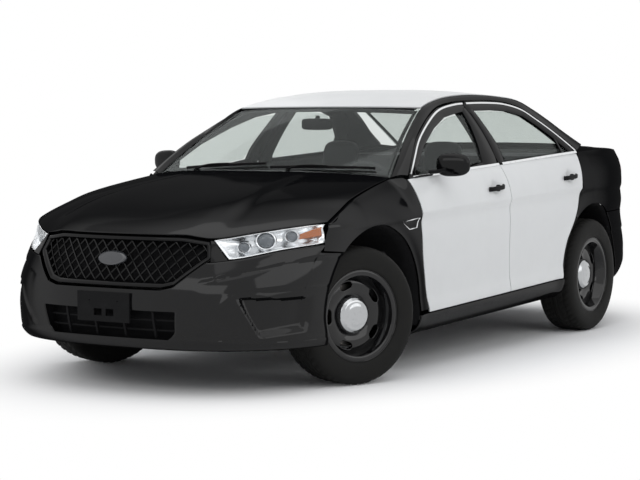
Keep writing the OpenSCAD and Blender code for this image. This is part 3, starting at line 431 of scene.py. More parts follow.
@dataclass
class Piece:
    """Gathers grids of points in millimetres and makes them one Blender object."""
    name: str
    body: str = "root"
    grids: list[Array] = field(default_factory=list)
    faces: list[Array] = field(default_factory=list)
    count: int = 0

    def add(self, p: Array, close_u: bool = False, close_v: bool = False,
            away: Optional[Sequence[float]] = None,
            keep: Optional[Array] = None) -> "Piece":
        """Adds one grid.

        Args:
            p: Points (n, m, 3).
            close_u: Joins the last row to the first.
            close_v: Joins the last column to the first.
            away: For an open sheet, a point that its faces look away from.
            keep: Mask of the faces that stay.

        Returns:
            The piece itself.
        """
        f = grid_faces(p.shape[0], p.shape[1], close_u, close_v)
        flat = p.reshape(-1, 3)
        if keep is not None:
            f = f[keep.ravel()]
        if away is not None:
            look = (face_normals(flat, f) * (flat[f].mean(1) - np.asarray(away, float))).sum()
            f = f[:, ::-1] if look < 0 else f
        self.grids.append(flat)
        self.faces.append(f + self.count)
        self.count += len(flat)
        return self

    def rod(self, path: Array, outline: Array, up: Sequence[float] = (0, 0, 1)) -> "Piece":
        """Adds a closed rod: an outline carried along a path, its ends capped."""
        across, over = frames_along(path, up)
        return self.add(capped(tube(path, across, over, outline)), close_v=True)

    def column(self, outline: Array, x: Any, y: Any, width: Any, length: Any, z: Array) -> "Piece":
        """Adds a closed upright block: at each height the unit outline gets that height's centre and size."""
        x, y, width, length = (np.reshape(v, (-1, 1)) for v in (x, y, width, length))
        ring = points(x + outline[None, :, 0] * width, y + outline[None, :, 1] * length, z[:, None])
        return self.add(capped(ring), close_v=True)

    def mirror(self) -> "Piece":
        """Adds the other side's copy of everything so far."""
        p, f = np.concatenate(self.grids), np.concatenate(self.faces)
        self.grids.append(p * [-1, 1, 1])
        self.faces.append(f[:, ::-1] + self.count)
        self.count += len(p)
        return self

    def to_side(self, side: Side) -> "Piece":
        """Moves the piece to a side, turning its faces back outwards."""
        if side is Side.RIGHT:
            self.grids = [g * [-1, 1, 1] for g in self.grids]
            self.faces = [f[:, ::-1] for f in self.faces]
        return self

    def place(self, matrix: Array) -> "Piece":
        """Turns and moves all points by a 4x4 matrix in millimetres."""
        self.grids = [g @ matrix[:3, :3].T + matrix[:3, 3] for g in self.grids]
        return self

    def make(self, finish: "Finish", wall: float = 0.0, bevel: float = 0.0, closed: bool = False,
             sharp: float = 35.0, subdivide: int = 0, replaces: Iterable[str] = ()) -> bpy.types.Object:
        """Builds the object, dresses it and lets it ride on its body.

        Args:
            finish: Finish of the whole piece.
            wall: Thickness in millimetres that an open sheet gets on its inner side.
            bevel: Width in millimetres of the rounding of its edges.
            closed: The grids close up; doubles are merged and the normals recalculated.
            sharp: Angle in degrees over which an edge stays sharp.
            subdivide: Levels of subdivision.
            replaces: CAD nodes that the piece stands for.

        Returns:
            The finished object.
        """
        p, f = np.concatenate(self.grids) * MM, np.concatenate(self.faces)
        mesh = bpy.data.meshes.new(self.name)
        mesh.vertices.add(len(p))
        mesh.vertices.foreach_set("co", p.ravel())
        mesh.loops.add(4 * len(f))
        mesh.loops.foreach_set("vertex_index", f.ravel().astype(np.int32))
        mesh.polygons.add(len(f))
        mesh.polygons.foreach_set("loop_start", np.arange(0, 4 * len(f), 4, dtype=np.int32))
        mesh.update(calc_edges=True)
        mesh.validate()
        tool = bmesh.new()
        tool.from_mesh(mesh)
        bmesh.ops.remove_doubles(tool, verts=tool.verts, dist=1e-5)
        bmesh.ops.dissolve_degenerate(tool, dist=1e-6, edges=tool.edges)
        if closed:
            bmesh.ops.recalc_face_normals(tool, faces=tool.faces)
        tool.to_mesh(mesh)
        tool.free()
        mesh.polygons.foreach_set("use_smooth", np.ones(len(mesh.polygons), bool))
        mesh.set_sharp_from_angle(angle=math.radians(sharp))
        obj = bpy.data.objects.new(self.name, mesh)
        bpy.context.scene.collection.objects.link(obj)
        if wall:
            solid = obj.modifiers.new("wall", "SOLIDIFY")
            solid.thickness = wall * MM
            solid.offset = -1.0
            solid.use_even_offset = False
        if bevel:
            edge = obj.modifiers.new("edges", "BEVEL")
            edge.width = bevel * MM
            edge.segments = 2
            edge.limit_method = "ANGLE"
            edge.angle_limit = math.radians(40)
            edge.harden_normals = True
        if subdivide:
            soft = obj.modifiers.new("soft", "SUBSURF")
            soft.levels = soft.render_levels = subdivide
        mesh.materials.append(finish.material())
        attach(obj, self.body)
        if replaces:
            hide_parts(*replaces)
        LOG.info("%s: %d faces on %s", self.name, len(mesh.polygons), self.body)
        return obj


# ---- Shaders ----

def _operator(kind: str, reflected: bool = False) -> Callable[["Value", Any], "Value"]:
    """Method that adds one Math node of a kind; a reflected one has the value on the right."""

    def apply(self: "Value", other: Any) -> "Value":
        """Adds the node for the value and another value or number."""
        return self._math(kind, other, self) if reflected else self._math(kind, self, other)

    return apply


class Value:
    """A shader socket whose arithmetic adds Math nodes."""

    def __init__(self, tree: "Shader", socket: Any) -> None:
        """Wraps a socket of a tree."""
        self.tree, self.socket = tree, socket

    def _math(self, kind: str, a: Any, b: Any = None) -> "Value":
        """Adds one Math node."""
        return self.tree.node("ShaderNodeMath", {"operation": kind}, {0: a} if b is None else {0: a, 1: b})

    __add__ = __radd__ = _operator("ADD")
    __sub__, __rsub__ = _operator("SUBTRACT"), _operator("SUBTRACT", reflected=True)
    __mul__ = __rmul__ = _operator("MULTIPLY")
    __truediv__, __pow__ = _operator("DIVIDE"), _operator("POWER")
    least, most = _operator("MINIMUM"), _operator("MAXIMUM")

    def over(self, low: float, high: float) -> "Value":
        """Smooth step of the value between two bounds, from 0 to 1."""
        return self.tree.node("ShaderNodeMapRange", {"interpolation_type": "SMOOTHSTEP"},
                              {"Value": self, "From Min": low, "From Max": high})

    def wave(self) -> "Value":
        """Sine."""
        return self._math("SINE", self)


Colour = tuple[float, float, float]


class Shader:
    """One material's node tree."""

    def __init__(self, name: str) -> None:
        """Starts a material with only its output."""
        self.mat = bpy.data.materials.new(name)
        self.mat.use_nodes = True
        self.nodes, self.links = self.mat.node_tree.nodes, self.mat.node_tree.links
        self.nodes.clear()
        self.output = self.nodes.new("ShaderNodeOutputMaterial")
        self.spot = self.node("ShaderNodeTexCoord", out="Object")

    def node(self, kind: str, settings: Optional[dict[str, Any]] = None,
             inputs: Optional[dict[Any, Any]] = None,
             out: Any = 0) -> Value:
        """Adds a node.

        Args:
            kind: Node type.
            settings: Properties, set first.
            inputs: Values or links of its sockets.
            out: Output socket that the result stands for.

        Returns:
            The wrapped output.
        """
        made = self.nodes.new(kind)
        for key, value in (settings or {}).items():
            setattr(made, key, value)
        for key, value in (inputs or {}).items():
            if isinstance(value, Value):
                self.links.new(value.socket, made.inputs[key])
            else:
                made.inputs[key].default_value = value
        return Value(self, made.outputs[out])

    def noise(self, scale: float, detail: float = 3, roughness: float = 0.5,
              stretch: Colour = (1, 1, 1)) -> Value:
        """Noise on object coordinates, scale in cells a metre."""
        at = self.node("ShaderNodeMapping", None, {"Vector": self.spot, "Scale": stretch})
        return self.node("ShaderNodeTexNoise", None, {
            "Vector": at, "Scale": scale, "Detail": detail, "Roughness": roughness})

    def cells(self, scale: float) -> Value:
        """Cell pattern on object coordinates."""
        return self.node("ShaderNodeTexVoronoi", None, {"Vector": self.spot, "Scale": scale}, "Distance")

    def axis(self, letter: str) -> Value:
        """One object coordinate in metres."""
        return self.node("ShaderNodeSeparateXYZ", None, {0: self.spot}, letter)

    def blend(self, factor: Any, a: Any, b: Any) -> Value:
        """Mix of two colours."""
        pick = {6: a if isinstance(a, Value) else (*a, 1), 7: b if isinstance(b, Value) else (*b, 1),
                0: factor}
        return self.node("ShaderNodeMix", {"data_type": "RGBA"}, pick, 2)

    def bump(self, height: Value, depth: float, strength: float = 1.0) -> Value:
        """Bump of a height pattern, depth in metres."""
        return self.node("ShaderNodeBump", None, {"Height": height, "Distance": depth, "Strength": strength})

    def surface(self, **sockets: Any) -> Value:
        """Principled surface; underscores in socket names stand for spaces."""
        named = {key.replace("_", " "): value for key, value in sockets.items()}
        return self.node("ShaderNodeBsdfPrincipled", None, named)

    def close(self, result: Value) -> bpy.types.Material:
        """Links the surface to the output."""
        self.links.new(result.socket, self.output.inputs["Surface"])
        return self.mat


@dataclass(frozen=True)
class Finish:
    """A finish: one material, made once and shared."""
    name: str
    slot: str
    colour: Colour = (0.5, 0.5, 0.5)

    def build(self, s: Shader) -> Value:
        """Builds the surface; each kind of finish has its own."""
        raise NotImplementedError

    def material(self) -> bpy.types.Material:
        """The material, built at its first use."""
        found = bpy.data.materials.get(self.name)
        if found:
            return found
        shader = Shader(self.name)
        return shader.close(self.build(shader))


@dataclass(frozen=True)
class Paint(Finish):
    """Enamel under a clear coat, with orange peel, a dust film low down and fine haze."""
    rough: float = 0.32
    coat: float = 0.6
    dust: float = 0.5
    specular: float = 0.5
    coat_rough: float = 0.08
    fade: tuple[float, float, float] = (0.6, 0.9, 0.9)

    def build(self, s: Shader) -> Value:
        """Mottled colour with dust low down; dust weakens the coat, and so do grazing views.

        The three numbers of fade are where that starts and ends, and the share of the coat it takes.
        """
        mottle = s.noise(9, 4)
        fine = s.noise(420, 2)
        low = (1 - s.axis("Z").over(0.18, 0.75)) * self.dust
        film = (low * (0.35 + 0.65 * s.noise(26, 5, 0.65).over(0.35, 0.75))).least(1)
        tone = s.blend(mottle.over(0.3, 0.75) * 0.3, self.colour,
                       tuple(c * 0.95 + 0.0003 for c in self.colour))
        colour = s.blend(film * 0.12, tone, (0.12, 0.11, 0.095))
        rough = self.rough + 0.05 * mottle.over(0.35, 0.8) + 0.25 * film
        start, end, share = self.fade
        facing = s.node("ShaderNodeLayerWeight", None, {"Blend": 0.5}, "Facing").over(start, end)
        coat = self.coat * (1 - 0.7 * film) * (1 - share * facing)
        return s.surface(Base_Color=colour, Roughness=rough, Coat_Weight=coat,
                         Coat_Roughness=self.coat_rough, Specular_IOR_Level=self.specular,
                         Normal=s.bump(fine, 0.00003, 0.4))


@dataclass(frozen=True)
class Plastic(Finish):
    """Moulded plastic with a fine leathery grain."""
    rough: float = 0.55
    grain: float = 900.0
    depth: float = 0.0003
    specular: float = 0.4

    def build(self, s: Shader) -> Value:
        """Cell grain in the bump, broad wear in the roughness and faint fading in the colour."""
        grain, wear = s.cells(self.grain), s.noise(14, 4)
        colour = s.blend(wear.over(0.45, 0.8) * 0.55, self.colour,
                         tuple(c * 1.6 + 0.004 for c in self.colour))
        return s.surface(Base_Color=colour, Roughness=self.rough + 0.2 * (wear - 0.5) + 0.06 * grain,
                         Specular_IOR_Level=self.specular, Normal=s.bump(grain, self.depth, 0.6))


@dataclass(frozen=True)
class Metal(Finish):
    """Bare, cast or coated metal with fine grain, soot and rust tint."""
    rough: float = 0.4
    metallic: float = 1.0
    stain: Colour = (0.09, 0.055, 0.035)
    stained: float = 0.35
    grain: float = 350.0
    depth: float = 0.0002

    def build(self, s: Shader) -> Value:
        """Stain patches lower the metallic share and raise the roughness."""
        patch = s.noise(17, 6, 0.62).over(0.5, 0.72) * self.stained
        fine = s.noise(self.grain, 3)
        colour = s.blend(patch, self.colour, self.stain)
        return s.surface(Base_Color=colour, Metallic=self.metallic * (1 - 0.8 * patch),
                         Roughness=self.rough + 0.35 * patch + 0.12 * (fine - 0.5),
                         Normal=s.bump(fine, self.depth, 0.6))


@dataclass(frozen=True)
class Rubber(Finish):
    """Tyre rubber: dusty, with a fine pitted grain."""

    def build(self, s: Shader) -> Value:
        """Grey dust in patches over near-black, pitted by fine noise."""
        dust = s.noise(12, 5, 0.6).over(0.4, 0.8)
        fine = s.noise(700, 3)
        colour = s.blend(dust * 0.25 + fine * 0.1, self.colour, (0.03, 0.029, 0.026))
        return s.surface(Base_Color=colour, Roughness=0.72 + 0.16 * dust, Specular_IOR_Level=0.15,
                         Normal=s.bump(fine + s.cells(500), 0.0002, 0.6))


@dataclass(frozen=True)
class Cloth(Finish):
    """Woven seat cloth: crossed threads on object coordinates."""
    pitch: float = 0.0042

    def build(self, s: Shader) -> Value:
        """Threads are sines along X and along the height and depth together; fuzz is fine noise."""
        k = 2 * math.pi / self.pitch
        warp = (s.axis("X") * k).wave()
        weft = ((s.axis("Z") + s.axis("Y")) * k).wave()
        weave = (warp * weft * 0.5 + 0.5)
        fuzz = s.noise(900, 3)
        shade = s.noise(7, 3).over(0.3, 0.8)
        colour = s.blend((weave * 0.6 + fuzz * 0.4), self.colour, tuple(c * 2.1 + 0.004 for c in self.colour))
        colour = s.blend(shade * 0.25, colour, tuple(c * 0.6 for c in self.colour))
        return s.surface(Base_Color=colour, Roughness=0.86 + 0.08 * fuzz, Sheen_Weight=0.25,
                         Sheen_Roughness=0.5,
                         Specular_IOR_Level=0.2, Normal=s.bump(weave + fuzz * 0.5, 0.0006, 0.8))


@dataclass(frozen=True)
class Glass(Finish):
    """Sheet glass: tinted see-through body with a Fresnel gloss, a dust film and smears."""
    gloss: float = 0.02
    index: float = 1.45
    haze: float = 0.03
    share: float = 0.3

    def build(self, s: Shader) -> Value:
        """Transparent tint mixed with gloss by Fresnel, then a thin film of pale dust."""
        smear = s.noise(6, 5, 0.6, (1, 1, 2.2)).over(0.4, 0.75)
        clear = s.node("ShaderNodeBsdfTransparent", None, {"Color": (*self.colour, 1)})
        gloss = s.node("ShaderNodeBsdfPrincipled", None, {
            "Base Color": (0.9, 0.92, 0.93, 1), "Metallic": 1.0, "Roughness": self.gloss + 0.05 * smear})
        rim = s.node("ShaderNodeFresnel", None, {"IOR": self.index})
        body = s.node("ShaderNodeMixShader", None, {0: rim * self.share, 1: clear, 2: gloss})
        film = s.surface(Base_Color=s.blend(smear, (0.35, 0.36, 0.36), (0.42, 0.42, 0.4)), Roughness=0.7)
        return s.node("ShaderNodeMixShader", None, {0: self.haze * (0.3 + 0.7 * smear), 1: body, 2: film})


@dataclass(frozen=True)
class Lens(Finish):
    """Coloured lamp plastic with fine prisms under a gloss skin."""
    prisms: float = 160.0

    def build(self, s: Shader) -> Value:
        """Vertical prisms are a sine across the lamp; colour deepens between them."""
        ribs = ((s.axis("X") + s.axis("Y") * 0.6) * (2 * math.pi * self.prisms)).wave() * 0.5 + 0.5
        fine = s.noise(60, 3)
        colour = s.blend(ribs * 0.5 + fine * 0.3, self.colour, tuple(c * 0.45 for c in self.colour))
        return s.surface(Base_Color=colour, Roughness=0.16 + 0.1 * fine, Coat_Weight=0.7 + 0.2 * fine,
                         Normal=s.bump(ribs, 0.0004, 0.5))


@dataclass(frozen=True)
class Chrome(Finish):
    """Bright plating with water marks."""
    rough: float = 0.12

    def build(self, s: Shader) -> Value:
        """Mirror metal whose roughness varies with spots."""
        spots = s.noise(40, 5, 0.6).over(0.5, 0.8)
        colour = s.blend(spots * 0.4, self.colour, tuple(c * 0.7 for c in self.colour))
        return s.surface(Base_Color=colour, Metallic=1.0 - 0.1 * spots, Roughness=self.rough + 0.2 * spots,
                         Normal=s.bump(s.noise(300, 2), 0.00005, 0.4))


BLACK = Paint("black_enamel", "body_black", (0.0036, 0.0037, 0.0042), rough=0.3, coat=0.55, dust=0.3,
              specular=0.0, fade=(0.35, 0.7, 0.97))
WHITE = Paint("white_enamel", "body_white", (0.7, 0.71, 0.71), rough=0.34, coat=0.25, dust=0.2, specular=0.3)
TRIM = Plastic("black_trim", "trim_black", (0.005, 0.005, 0.0055), specular=0.1)
GLOSS = Paint("gloss_trim", "trim_black", (0.003, 0.003, 0.0034), rough=0.3, coat=0.4, dust=0.2, specular=0.0)
WELL = Plastic("well_liner", "trim_black", (0.0045, 0.0045, 0.005), rough=0.85, grain=160.0, depth=0.0012,
               specular=0.12)
CHROME = Chrome("bright_trim", "trim_black", (0.78, 0.79, 0.8))
CAP_CHROME = Chrome("bright_cap", "wheel_black", (0.44, 0.45, 0.46), rough=0.12)
LAMP_CHROME = Chrome("lamp_reflector", "lamp_clear", (0.86, 0.87, 0.88), rough=0.1)
LAMP_BOWL = Chrome("lamp_bowl_plating", "lamp_clear", (0.78, 0.79, 0.8), rough=0.2)
LAMP_GLASS = Glass("lamp_cover", "lamp_clear", (0.97, 0.975, 0.98), index=1.42, haze=0.01, share=0.3)
AMBER = Lens("amber_reflector", "lamp_clear", (0.62, 0.16, 0.02))
RED = Lens("red_lens", "lamp_red", (0.36, 0.009, 0.012))
GLASS = Glass("window_pane", "window_glass", (0.85, 0.87, 0.86), index=1.4, share=0.07, haze=0.012)
TYRE = Rubber("tyre_sidewall", "tyre_rubber", (0.0075, 0.0075, 0.0072))
WHEEL = Paint("wheel_enamel", "wheel_black", (0.0035, 0.0035, 0.004), rough=0.3, coat=0.9, dust=0.15,
              specular=0.0)
DISC = Metal("brake_disc", "wheel_black", (0.22, 0.21, 0.2), rough=0.42, stained=0.4)
CLOTH = Cloth("seat_cloth", "cabin_cloth", (0.014, 0.014, 0.0155))
VINYL = Plastic("cabin_vinyl", "cabin_plastic", (0.011, 0.011, 0.012), rough=0.62, grain=620.0, depth=0.0005)
KEPT: dict[str, Finish] = {
    "floor_pan": Metal("sealed_floor", "underbody", (0.02, 0.02, 0.021), rough=0.75, metallic=0.1,
                       grain=120.0,
                       depth=0.0015),
    "engine_block": Metal("cast_engine", "engine_metal", (0.2, 0.2, 0.205), rough=0.55, metallic=0.8,
                          grain=180.0,
                          depth=0.0012),
    "chassis": Metal("coated_chassis", "chassis_steel", (0.025, 0.025, 0.026), rough=0.55, metallic=0.5,
                     stained=0.5),
    "exhaust": Metal("exhaust_skin", "exhaust_steel", (0.32, 0.31, 0.29), rough=0.34, stained=0.5),
    "radiator": Metal("radiator_fins", "radiator_metal", (0.06, 0.062, 0.065), rough=0.5, metallic=0.8),
}


# ---- Body ----

def through(entries: Sequence[Any], count: int, straight: bool = False) -> Array:
    """Smooth (or straight-sided) line through points, at evenly spaced shares of the entry count."""
    e = np.asarray(entries, float)
    t = np.linspace(0, len(e) - 1, count)
    if straight:
        return np.stack([np.interp(t, np.arange(len(e)), e[:, k]) for k in range(e.shape[1])], 1)
    return hermite(t, np.arange(len(e)), e)


def spread(a: Array, b: Array, count: int) -> Array:
    """Grid of straight rows between two lines of points."""
    return mix(a[:, None], b[:, None], np.linspace(0, 1, count)[None, :, None])


def outset(line: Array, d: float) -> Array:
    """Line of (y, z) points moved to its left by d."""
    t = unit(np.gradient(line, axis=0))
    return line + d * np.stack([-t[:, 1], t[:, 0]], 1)


CABIN = (0.0, 0.0, 700.0)
NOSE = (0.0, -1000.0, 500.0)


@dataclass
class BodyShell:
    """Fixed skin behind the front doors: quarters, rockers, rails, roof, pillars."""
    wall: float = 9.0
    bevel: float = 2.2
    columns: int = 92
    rows: int = 28

    def quarter(self) -> Array:
        """Strip from the rear arch and bumper seam up to the door's edge and the belt."""
        f = FORM
        t = np.linspace(0, 17, self.columns)
        out = math.degrees(math.asin((f.seam_z - f.rear_arch[1]) / f.rear_arch_r))
        angles = [172, 165, 157, 152, 141, 130, 121, 111, 103] + list(np.linspace(95, out, 5))
        a = np.radians(np.interp(t, np.arange(14), angles))
        arch = f.arch_points(f.rear_arch, f.rear_arch_r, a)
        end = f.rear_arch[0] + f.rear_arch_r * math.cos(math.radians(out))
        seam = np.interp(t, [13, 14, 15, 16, 17], [end, 1640, 1750, 1850, f.lamp_y - 6])
        low = np.where((t <= 13)[:, None], arch, np.stack([seam, np.full_like(t, f.seam_z)], 1))
        z = np.interp(t, np.arange(9), [440, 520, 600, 640, 740, 850, 940, 1060, 1150])
        edge = np.stack([f.rear_edge(z) + f.gap + 2, z], 1)
        y = np.interp(t, np.arange(8, 18), [f.rear_edge(np.array(1150.0)) + f.gap + 2, 1205, 1275, 1350, 1430,
                                            1510,
                                            1640, 1750, 1850, f.lamp_y - 6])
        belt = np.stack([y, np.interp(t, [8, 9], [0, 1]) * (f.belt_z(y) - 1150) + 1150], 1)
        high = np.where((t <= 8)[:, None], edge, belt)
        g = spread(low, high, self.rows)
        return f.on_side(g[..., 0], g[..., 1])

    def shoulder(self, b: Array) -> Array:
        """Rows from a belt point over a soft shoulder to the deck's edge."""
        e = FORM.deck_edge(b[:, 1])
        rows = np.stack([b, b + [-3, 0, 4], mix(b, e, 0.5) + [0, 0, 9], e], 1)
        t = np.linspace(0, 1, 14)
        return np.stack([hermite(t, np.array([0, 0.1, 0.5, 1]), r) for r in rows])

    def corner(self) -> tuple[Array, Array]:
        """Skin under the tail lamp, and over it up to the deck."""
        f = FORM
        u = np.linspace(0, 1, 36)

        def turn(v: Array, z: Array) -> Array:
            """Turn between the quarter's end and the trunk lid's side."""
            return mix(f.tail_turn_y(f.lamp_y - 6, z), f.tail_turn_x(f.lid_half + f.gap, z), v)

        uu, t = net_of(u, np.linspace(0, 1, 16))
        z = mix(f.seam_z, mix(*f.tail_lamp_low, uu) - f.gap, t)
        under = f.on_tail(turn(uu, z), z)
        v = u * 0.97
        z = mix(*f.tail_lamp_high, v) + f.gap
        zb = mix(f.belt_z(np.full_like(v, f.lamp_y)), 1142.0, v)
        first, b = f.on_tail(turn(v, z), z), f.on_tail(turn(v, zb), zb)
        return under, np.concatenate([spread(first, b, 6)[:, :-1], self.shoulder(b)], 1)

    def rail(self) -> Array:
        """Closed ring section from the windows' upper edge to the screens' and the roof's edge."""
        f = FORM
        n = 120
        line = outset(through(WINDOW_TOP, n), 25)
        tops = np.array([(795, -1064, 1068), (760, -925, 1164), (716, -775, 1262), (669, -597, 1372),
                         (637, -440, 1446)], float)
        back = np.array([-190, 145, 380, 560, 790, 950, 1110, 1290, 1480], float)
        e = f.roof_edge(back)
        tops = np.concatenate([tops, points(e[:, 0], back, e[:, 1])])
        low, high = f.on_window(line), through(tops, n) - [2, 0, 2]
        mid = (low + high) / 2 + [5, 0, 7]
        t = np.linspace(0, 2, 9)
        over = np.stack([hermite(t, np.arange(3.0), r) for r in np.stack([low, mid, high], 1)])
        under = np.stack([high - [6, 0, 22], mid - [46, 0, 10], low - [44, 0, 0]], 1)
        return np.concatenate([over, under], 1)

    def rocker(self) -> Array:
        """Sill strip: a rounded section under the doors, ended by the wheel arches."""
        f = FORM
        u, t = shares(120, 16)
        mid = mix(-1000.0, 830.0, u)
        z = mix(f.bottom_z(mid), f.sill_z(mid) - f.gap, t)
        y0 = f.front_arch[0] + f.arch_reach(f.front_arch, f.front_arch_r, z)
        y = mix(y0, f.rear_arch[0] - f.arch_reach(f.rear_arch, f.rear_arch_r, z), u)
        skin = f.on_side(y, z)
        return np.concatenate([skin[:, :1] * [0, 1, 1] + [700, 0, 14], skin[:, :1] - [30, 0, -1], skin,
                               skin[:, -1:] * [0, 1, 1] + [815, 0, 0]], 1)

    def roof(self, drop: float = 0.0, share: float = 1.0) -> Array:
        """Roof: level lengthways curve whose sides fall off as the 3.2nd power of the place across."""
        f = FORM
        t, s = net_of(np.linspace(0, 1, 46), np.linspace(-share, share, 41))
        y = mix(mix(-470, -440, s * s), mix(1075, 960, s * s), t)
        e = f.roof_edge(np.clip(y, -440, 900))
        edge = np.where(y > 900, mix(e[..., 1], 1437, (y - 900) / 60), e[..., 1])
        centre = hermite(mix(-470, 1075, t), *table([(-470, 1455), (-308, 1497), (-80, 1540), (150, 1557),
                                                     (450, 1551), (800, 1520), (1075, 1478)]))
        return points(s * (e[..., 0] - 10), y, centre - (centre - edge - 3) * np.abs(s) ** 3.2 - drop)

    def pillars(self, piece: Piece) -> None:
        """Middle pillars inside the doors and the hinge posts, as rounded closed tubes."""
        zs = np.linspace(400, 1470, 24)
        up = ease((zs - 1060) / 60)
        x = mix(772.0, FORM.window_x(np.full_like(zs, 75.0), np.maximum(zs, 1102)) - 80, up)
        w, d = mix(120.0, 66.0, up), mix(76.0, 42.0, up)
        a = round_outline(1, 1, 5)
        piece.column(a, x, 75, d, w, zs)
        zs = np.linspace(262, 1010, 20)
        fore = np.interp(zs, [260, 700, 1012], [-1150, -1160, -1140])
        aft = np.interp(zs, [260, 700, 1012], [-1010, -1030, -1045])
        piece.column(a, 769, (fore + aft) / 2, 76, aft - fore, zs)

    def build(self) -> None:
        """Makes the shell's pieces."""
        under, over = self.corner()
        skin = Piece("quarter_panels").add(self.quarter(), away=CABIN)
        y = np.linspace(1176, FORM.lamp_y - 6, 60)
        belt = FORM.on_side(y, FORM.belt_z(y))
        skin.add(self.shoulder(belt), away=(0, 1500, 900)).add(under, away=(300, 1500, 850))
        skin.add(over, away=(300, 1500, 850)).mirror()
        skin.make(BLACK, wall=self.wall, bevel=self.bevel, replaces=["body_sides"])
        Piece("rocker_panels").add(self.rocker(), away=(0, 0, 400)).mirror().make(
            GLOSS, wall=6, replaces=["body_sides"])
        Piece("roof_rails").add(capped(self.rail()), close_v=True).mirror().make(
            GLOSS, closed=True, sharp=50, replaces=["body_sides"])
        posts = Piece("inner_posts")
        self.pillars(posts)
        posts.mirror().make(VINYL, closed=True, replaces=["body_sides"])
        Piece("roof_skin").add(self.roof(), away=(0, 300, 0)).make(
            WHITE, wall=self.wall, bevel=2, replaces=["roof_panel"])
        Piece("headliner").add(self.roof(24, 0.93), away=(0, 300, 4000)).make(CLOTH)


@dataclass
class Fenders:
    """Front fenders with arch lips, vents and the liners of all four wheel houses."""
    columns: int = 92
    rows: int = 30
    vent_corners: tuple[tuple[float, float], ...] = ((-1222, 832), (-1036, 848), (-1056, 795), (-1139, 789))

    def skin(self) -> Array:
        """Strip from the front arch out to the lamp, the hood's edge and the door's edge."""
        f = FORM
        t = np.linspace(0, 16, self.columns)
        y = np.interp(t, np.arange(10), [-1938, -1918, -1904, -1790, -1690, -1581, -1450, -1300, -1170,
                                         -1056])
        z = np.interp(t, [0, 1, 2, 3], [f.fender_seam_z + 14, 800, 856, 0])
        z = np.where(t > 2, mix(856.0, f.hood_edge(y)[:, 0] - 1, np.clip(t - 2, 0, 1)), z)
        zd = np.interp(t, np.arange(10, 17), [1050, 960, 860, 740, 600, 460, 335])
        door = np.stack([f.front_lead(zd) - f.gap - 2, zd], 1)
        top = np.stack([y, z], 1)
        link = np.clip(t - 9, 0, 1)[:, None]
        first = np.array([[f.front_lead(np.array(1050.0)) - f.gap - 2, 1050.0]])
        high = np.where((t < 10)[:, None], mix(top, first, link), door)
        a0 = 180 - math.degrees(math.asin((f.fender_seam_z - f.front_arch[1]) / f.front_arch_r))
        a1 = math.degrees(math.asin((335 - f.front_arch[1]) / f.front_arch_r))
        a = np.radians(mix(a0, a1, t / 16))
        low = f.arch_points(f.front_arch, f.front_arch_r, a)
        g = spread(low, high, self.rows)
        return f.on_side(g[..., 0], g[..., 1])

    def vent(self) -> tuple[Array, Array]:
        """Four-cornered vent behind the arch: its raised rim as a tube, and its ribbed floor."""
        corners = np.array(self.vent_corners, float)
        line = through(np.concatenate([corners, corners[:1]]), 81, straight=True)[:-1]
        p = FORM.on_side(line[:, 0], line[:, 1]) + [1, 0, 0]
        o = round_outline(7, 5, 2, 8)
        c = corners.mean(0)
        inward = unit(points(0, c[0] - line[:, 0], c[1] - line[:, 1]))
        rim = tube(p, inward, np.broadcast_to([1.0, 0, 0], p.shape), o)
        u, v = shares(60, 12)
        front_top, rear_top, rear_low, front_low = corners
        y, z = (mix(mix(front_top[k], rear_top[k], u), mix(front_low[k], rear_low[k], u), v) for k in (0, 1))
        floor = FORM.on_side(y, z) + points(1.4 + 1.2 * np.sin(u * 44), 0, 0)
        return rim, floor

    def liners(self) -> Piece:
        """Wheel houses: half rings whose centre and radii change from the outside in."""
        piece = Piece("wheel_house_liners")
        a, w = net_of(np.radians(np.linspace(-14, 194, 72)), np.linspace(0, 1, 7))
        rib = 2.0 * np.cos(a * 36)
        for outer, inner in (((0, -1473, 368, 461, 461), (528, -1535, 368, 430, 430)),
                             ((0, 1282, 385, 444, 444), (690, 1282, 385, 441, 441))):
            v = [mix(p, q, w) for p, q in zip(outer, inner)]
            y, z = v[1] + (v[3] + rib) * np.cos(a), v[2] + (v[4] + rib) * np.sin(a)
            skin = FORM.on_side(y[:, 0], z[:, 0])[:, 0] - 12
            piece.add(points(mix(np.broadcast_to(skin[:, None], w.shape), inner[0], w), y, z))
            b, r = net_of(np.radians(np.linspace(-14, 194, 72)), np.linspace(0.32, 1, 4))
            piece.add(points(inner[0], inner[1] + inner[3] * r * np.cos(b),
                             inner[2] + inner[4] * r * np.sin(b)))
        return piece.mirror()

    def seam_strips(self) -> Array:
        """Ledge 12 mm under the hood's side edge, joining the fender's edge from below."""
        q, w = shares(60, 5)
        edge = FORM.hood_point(np.ones_like(q), q)
        return edge + points(24 - 46 * w, 0, -12 - 2 * w)

    def build(self) -> None:
        """Makes the fenders, vents and liners."""
        Piece("hood_ledges").add(self.seam_strips(), away=(0, -1500, 300)).mirror().make(
            BLACK, wall=3, replaces=["front_fenders"])
        Piece("fender_skins").add(self.skin(), away=(0, -1400, 500)).mirror().make(
            BLACK, wall=8, bevel=2.2, replaces=["front_fenders"])
        rim, floor = self.vent()
        Piece("fender_vent_rims").add(rim, True, True).mirror().make(CHROME, closed=True)
        Piece("fender_vent_floors").add(floor, away=(0, -1100, 800)).mirror().make(GLOSS, wall=3)
        self.liners().make(WELL, wall=3)


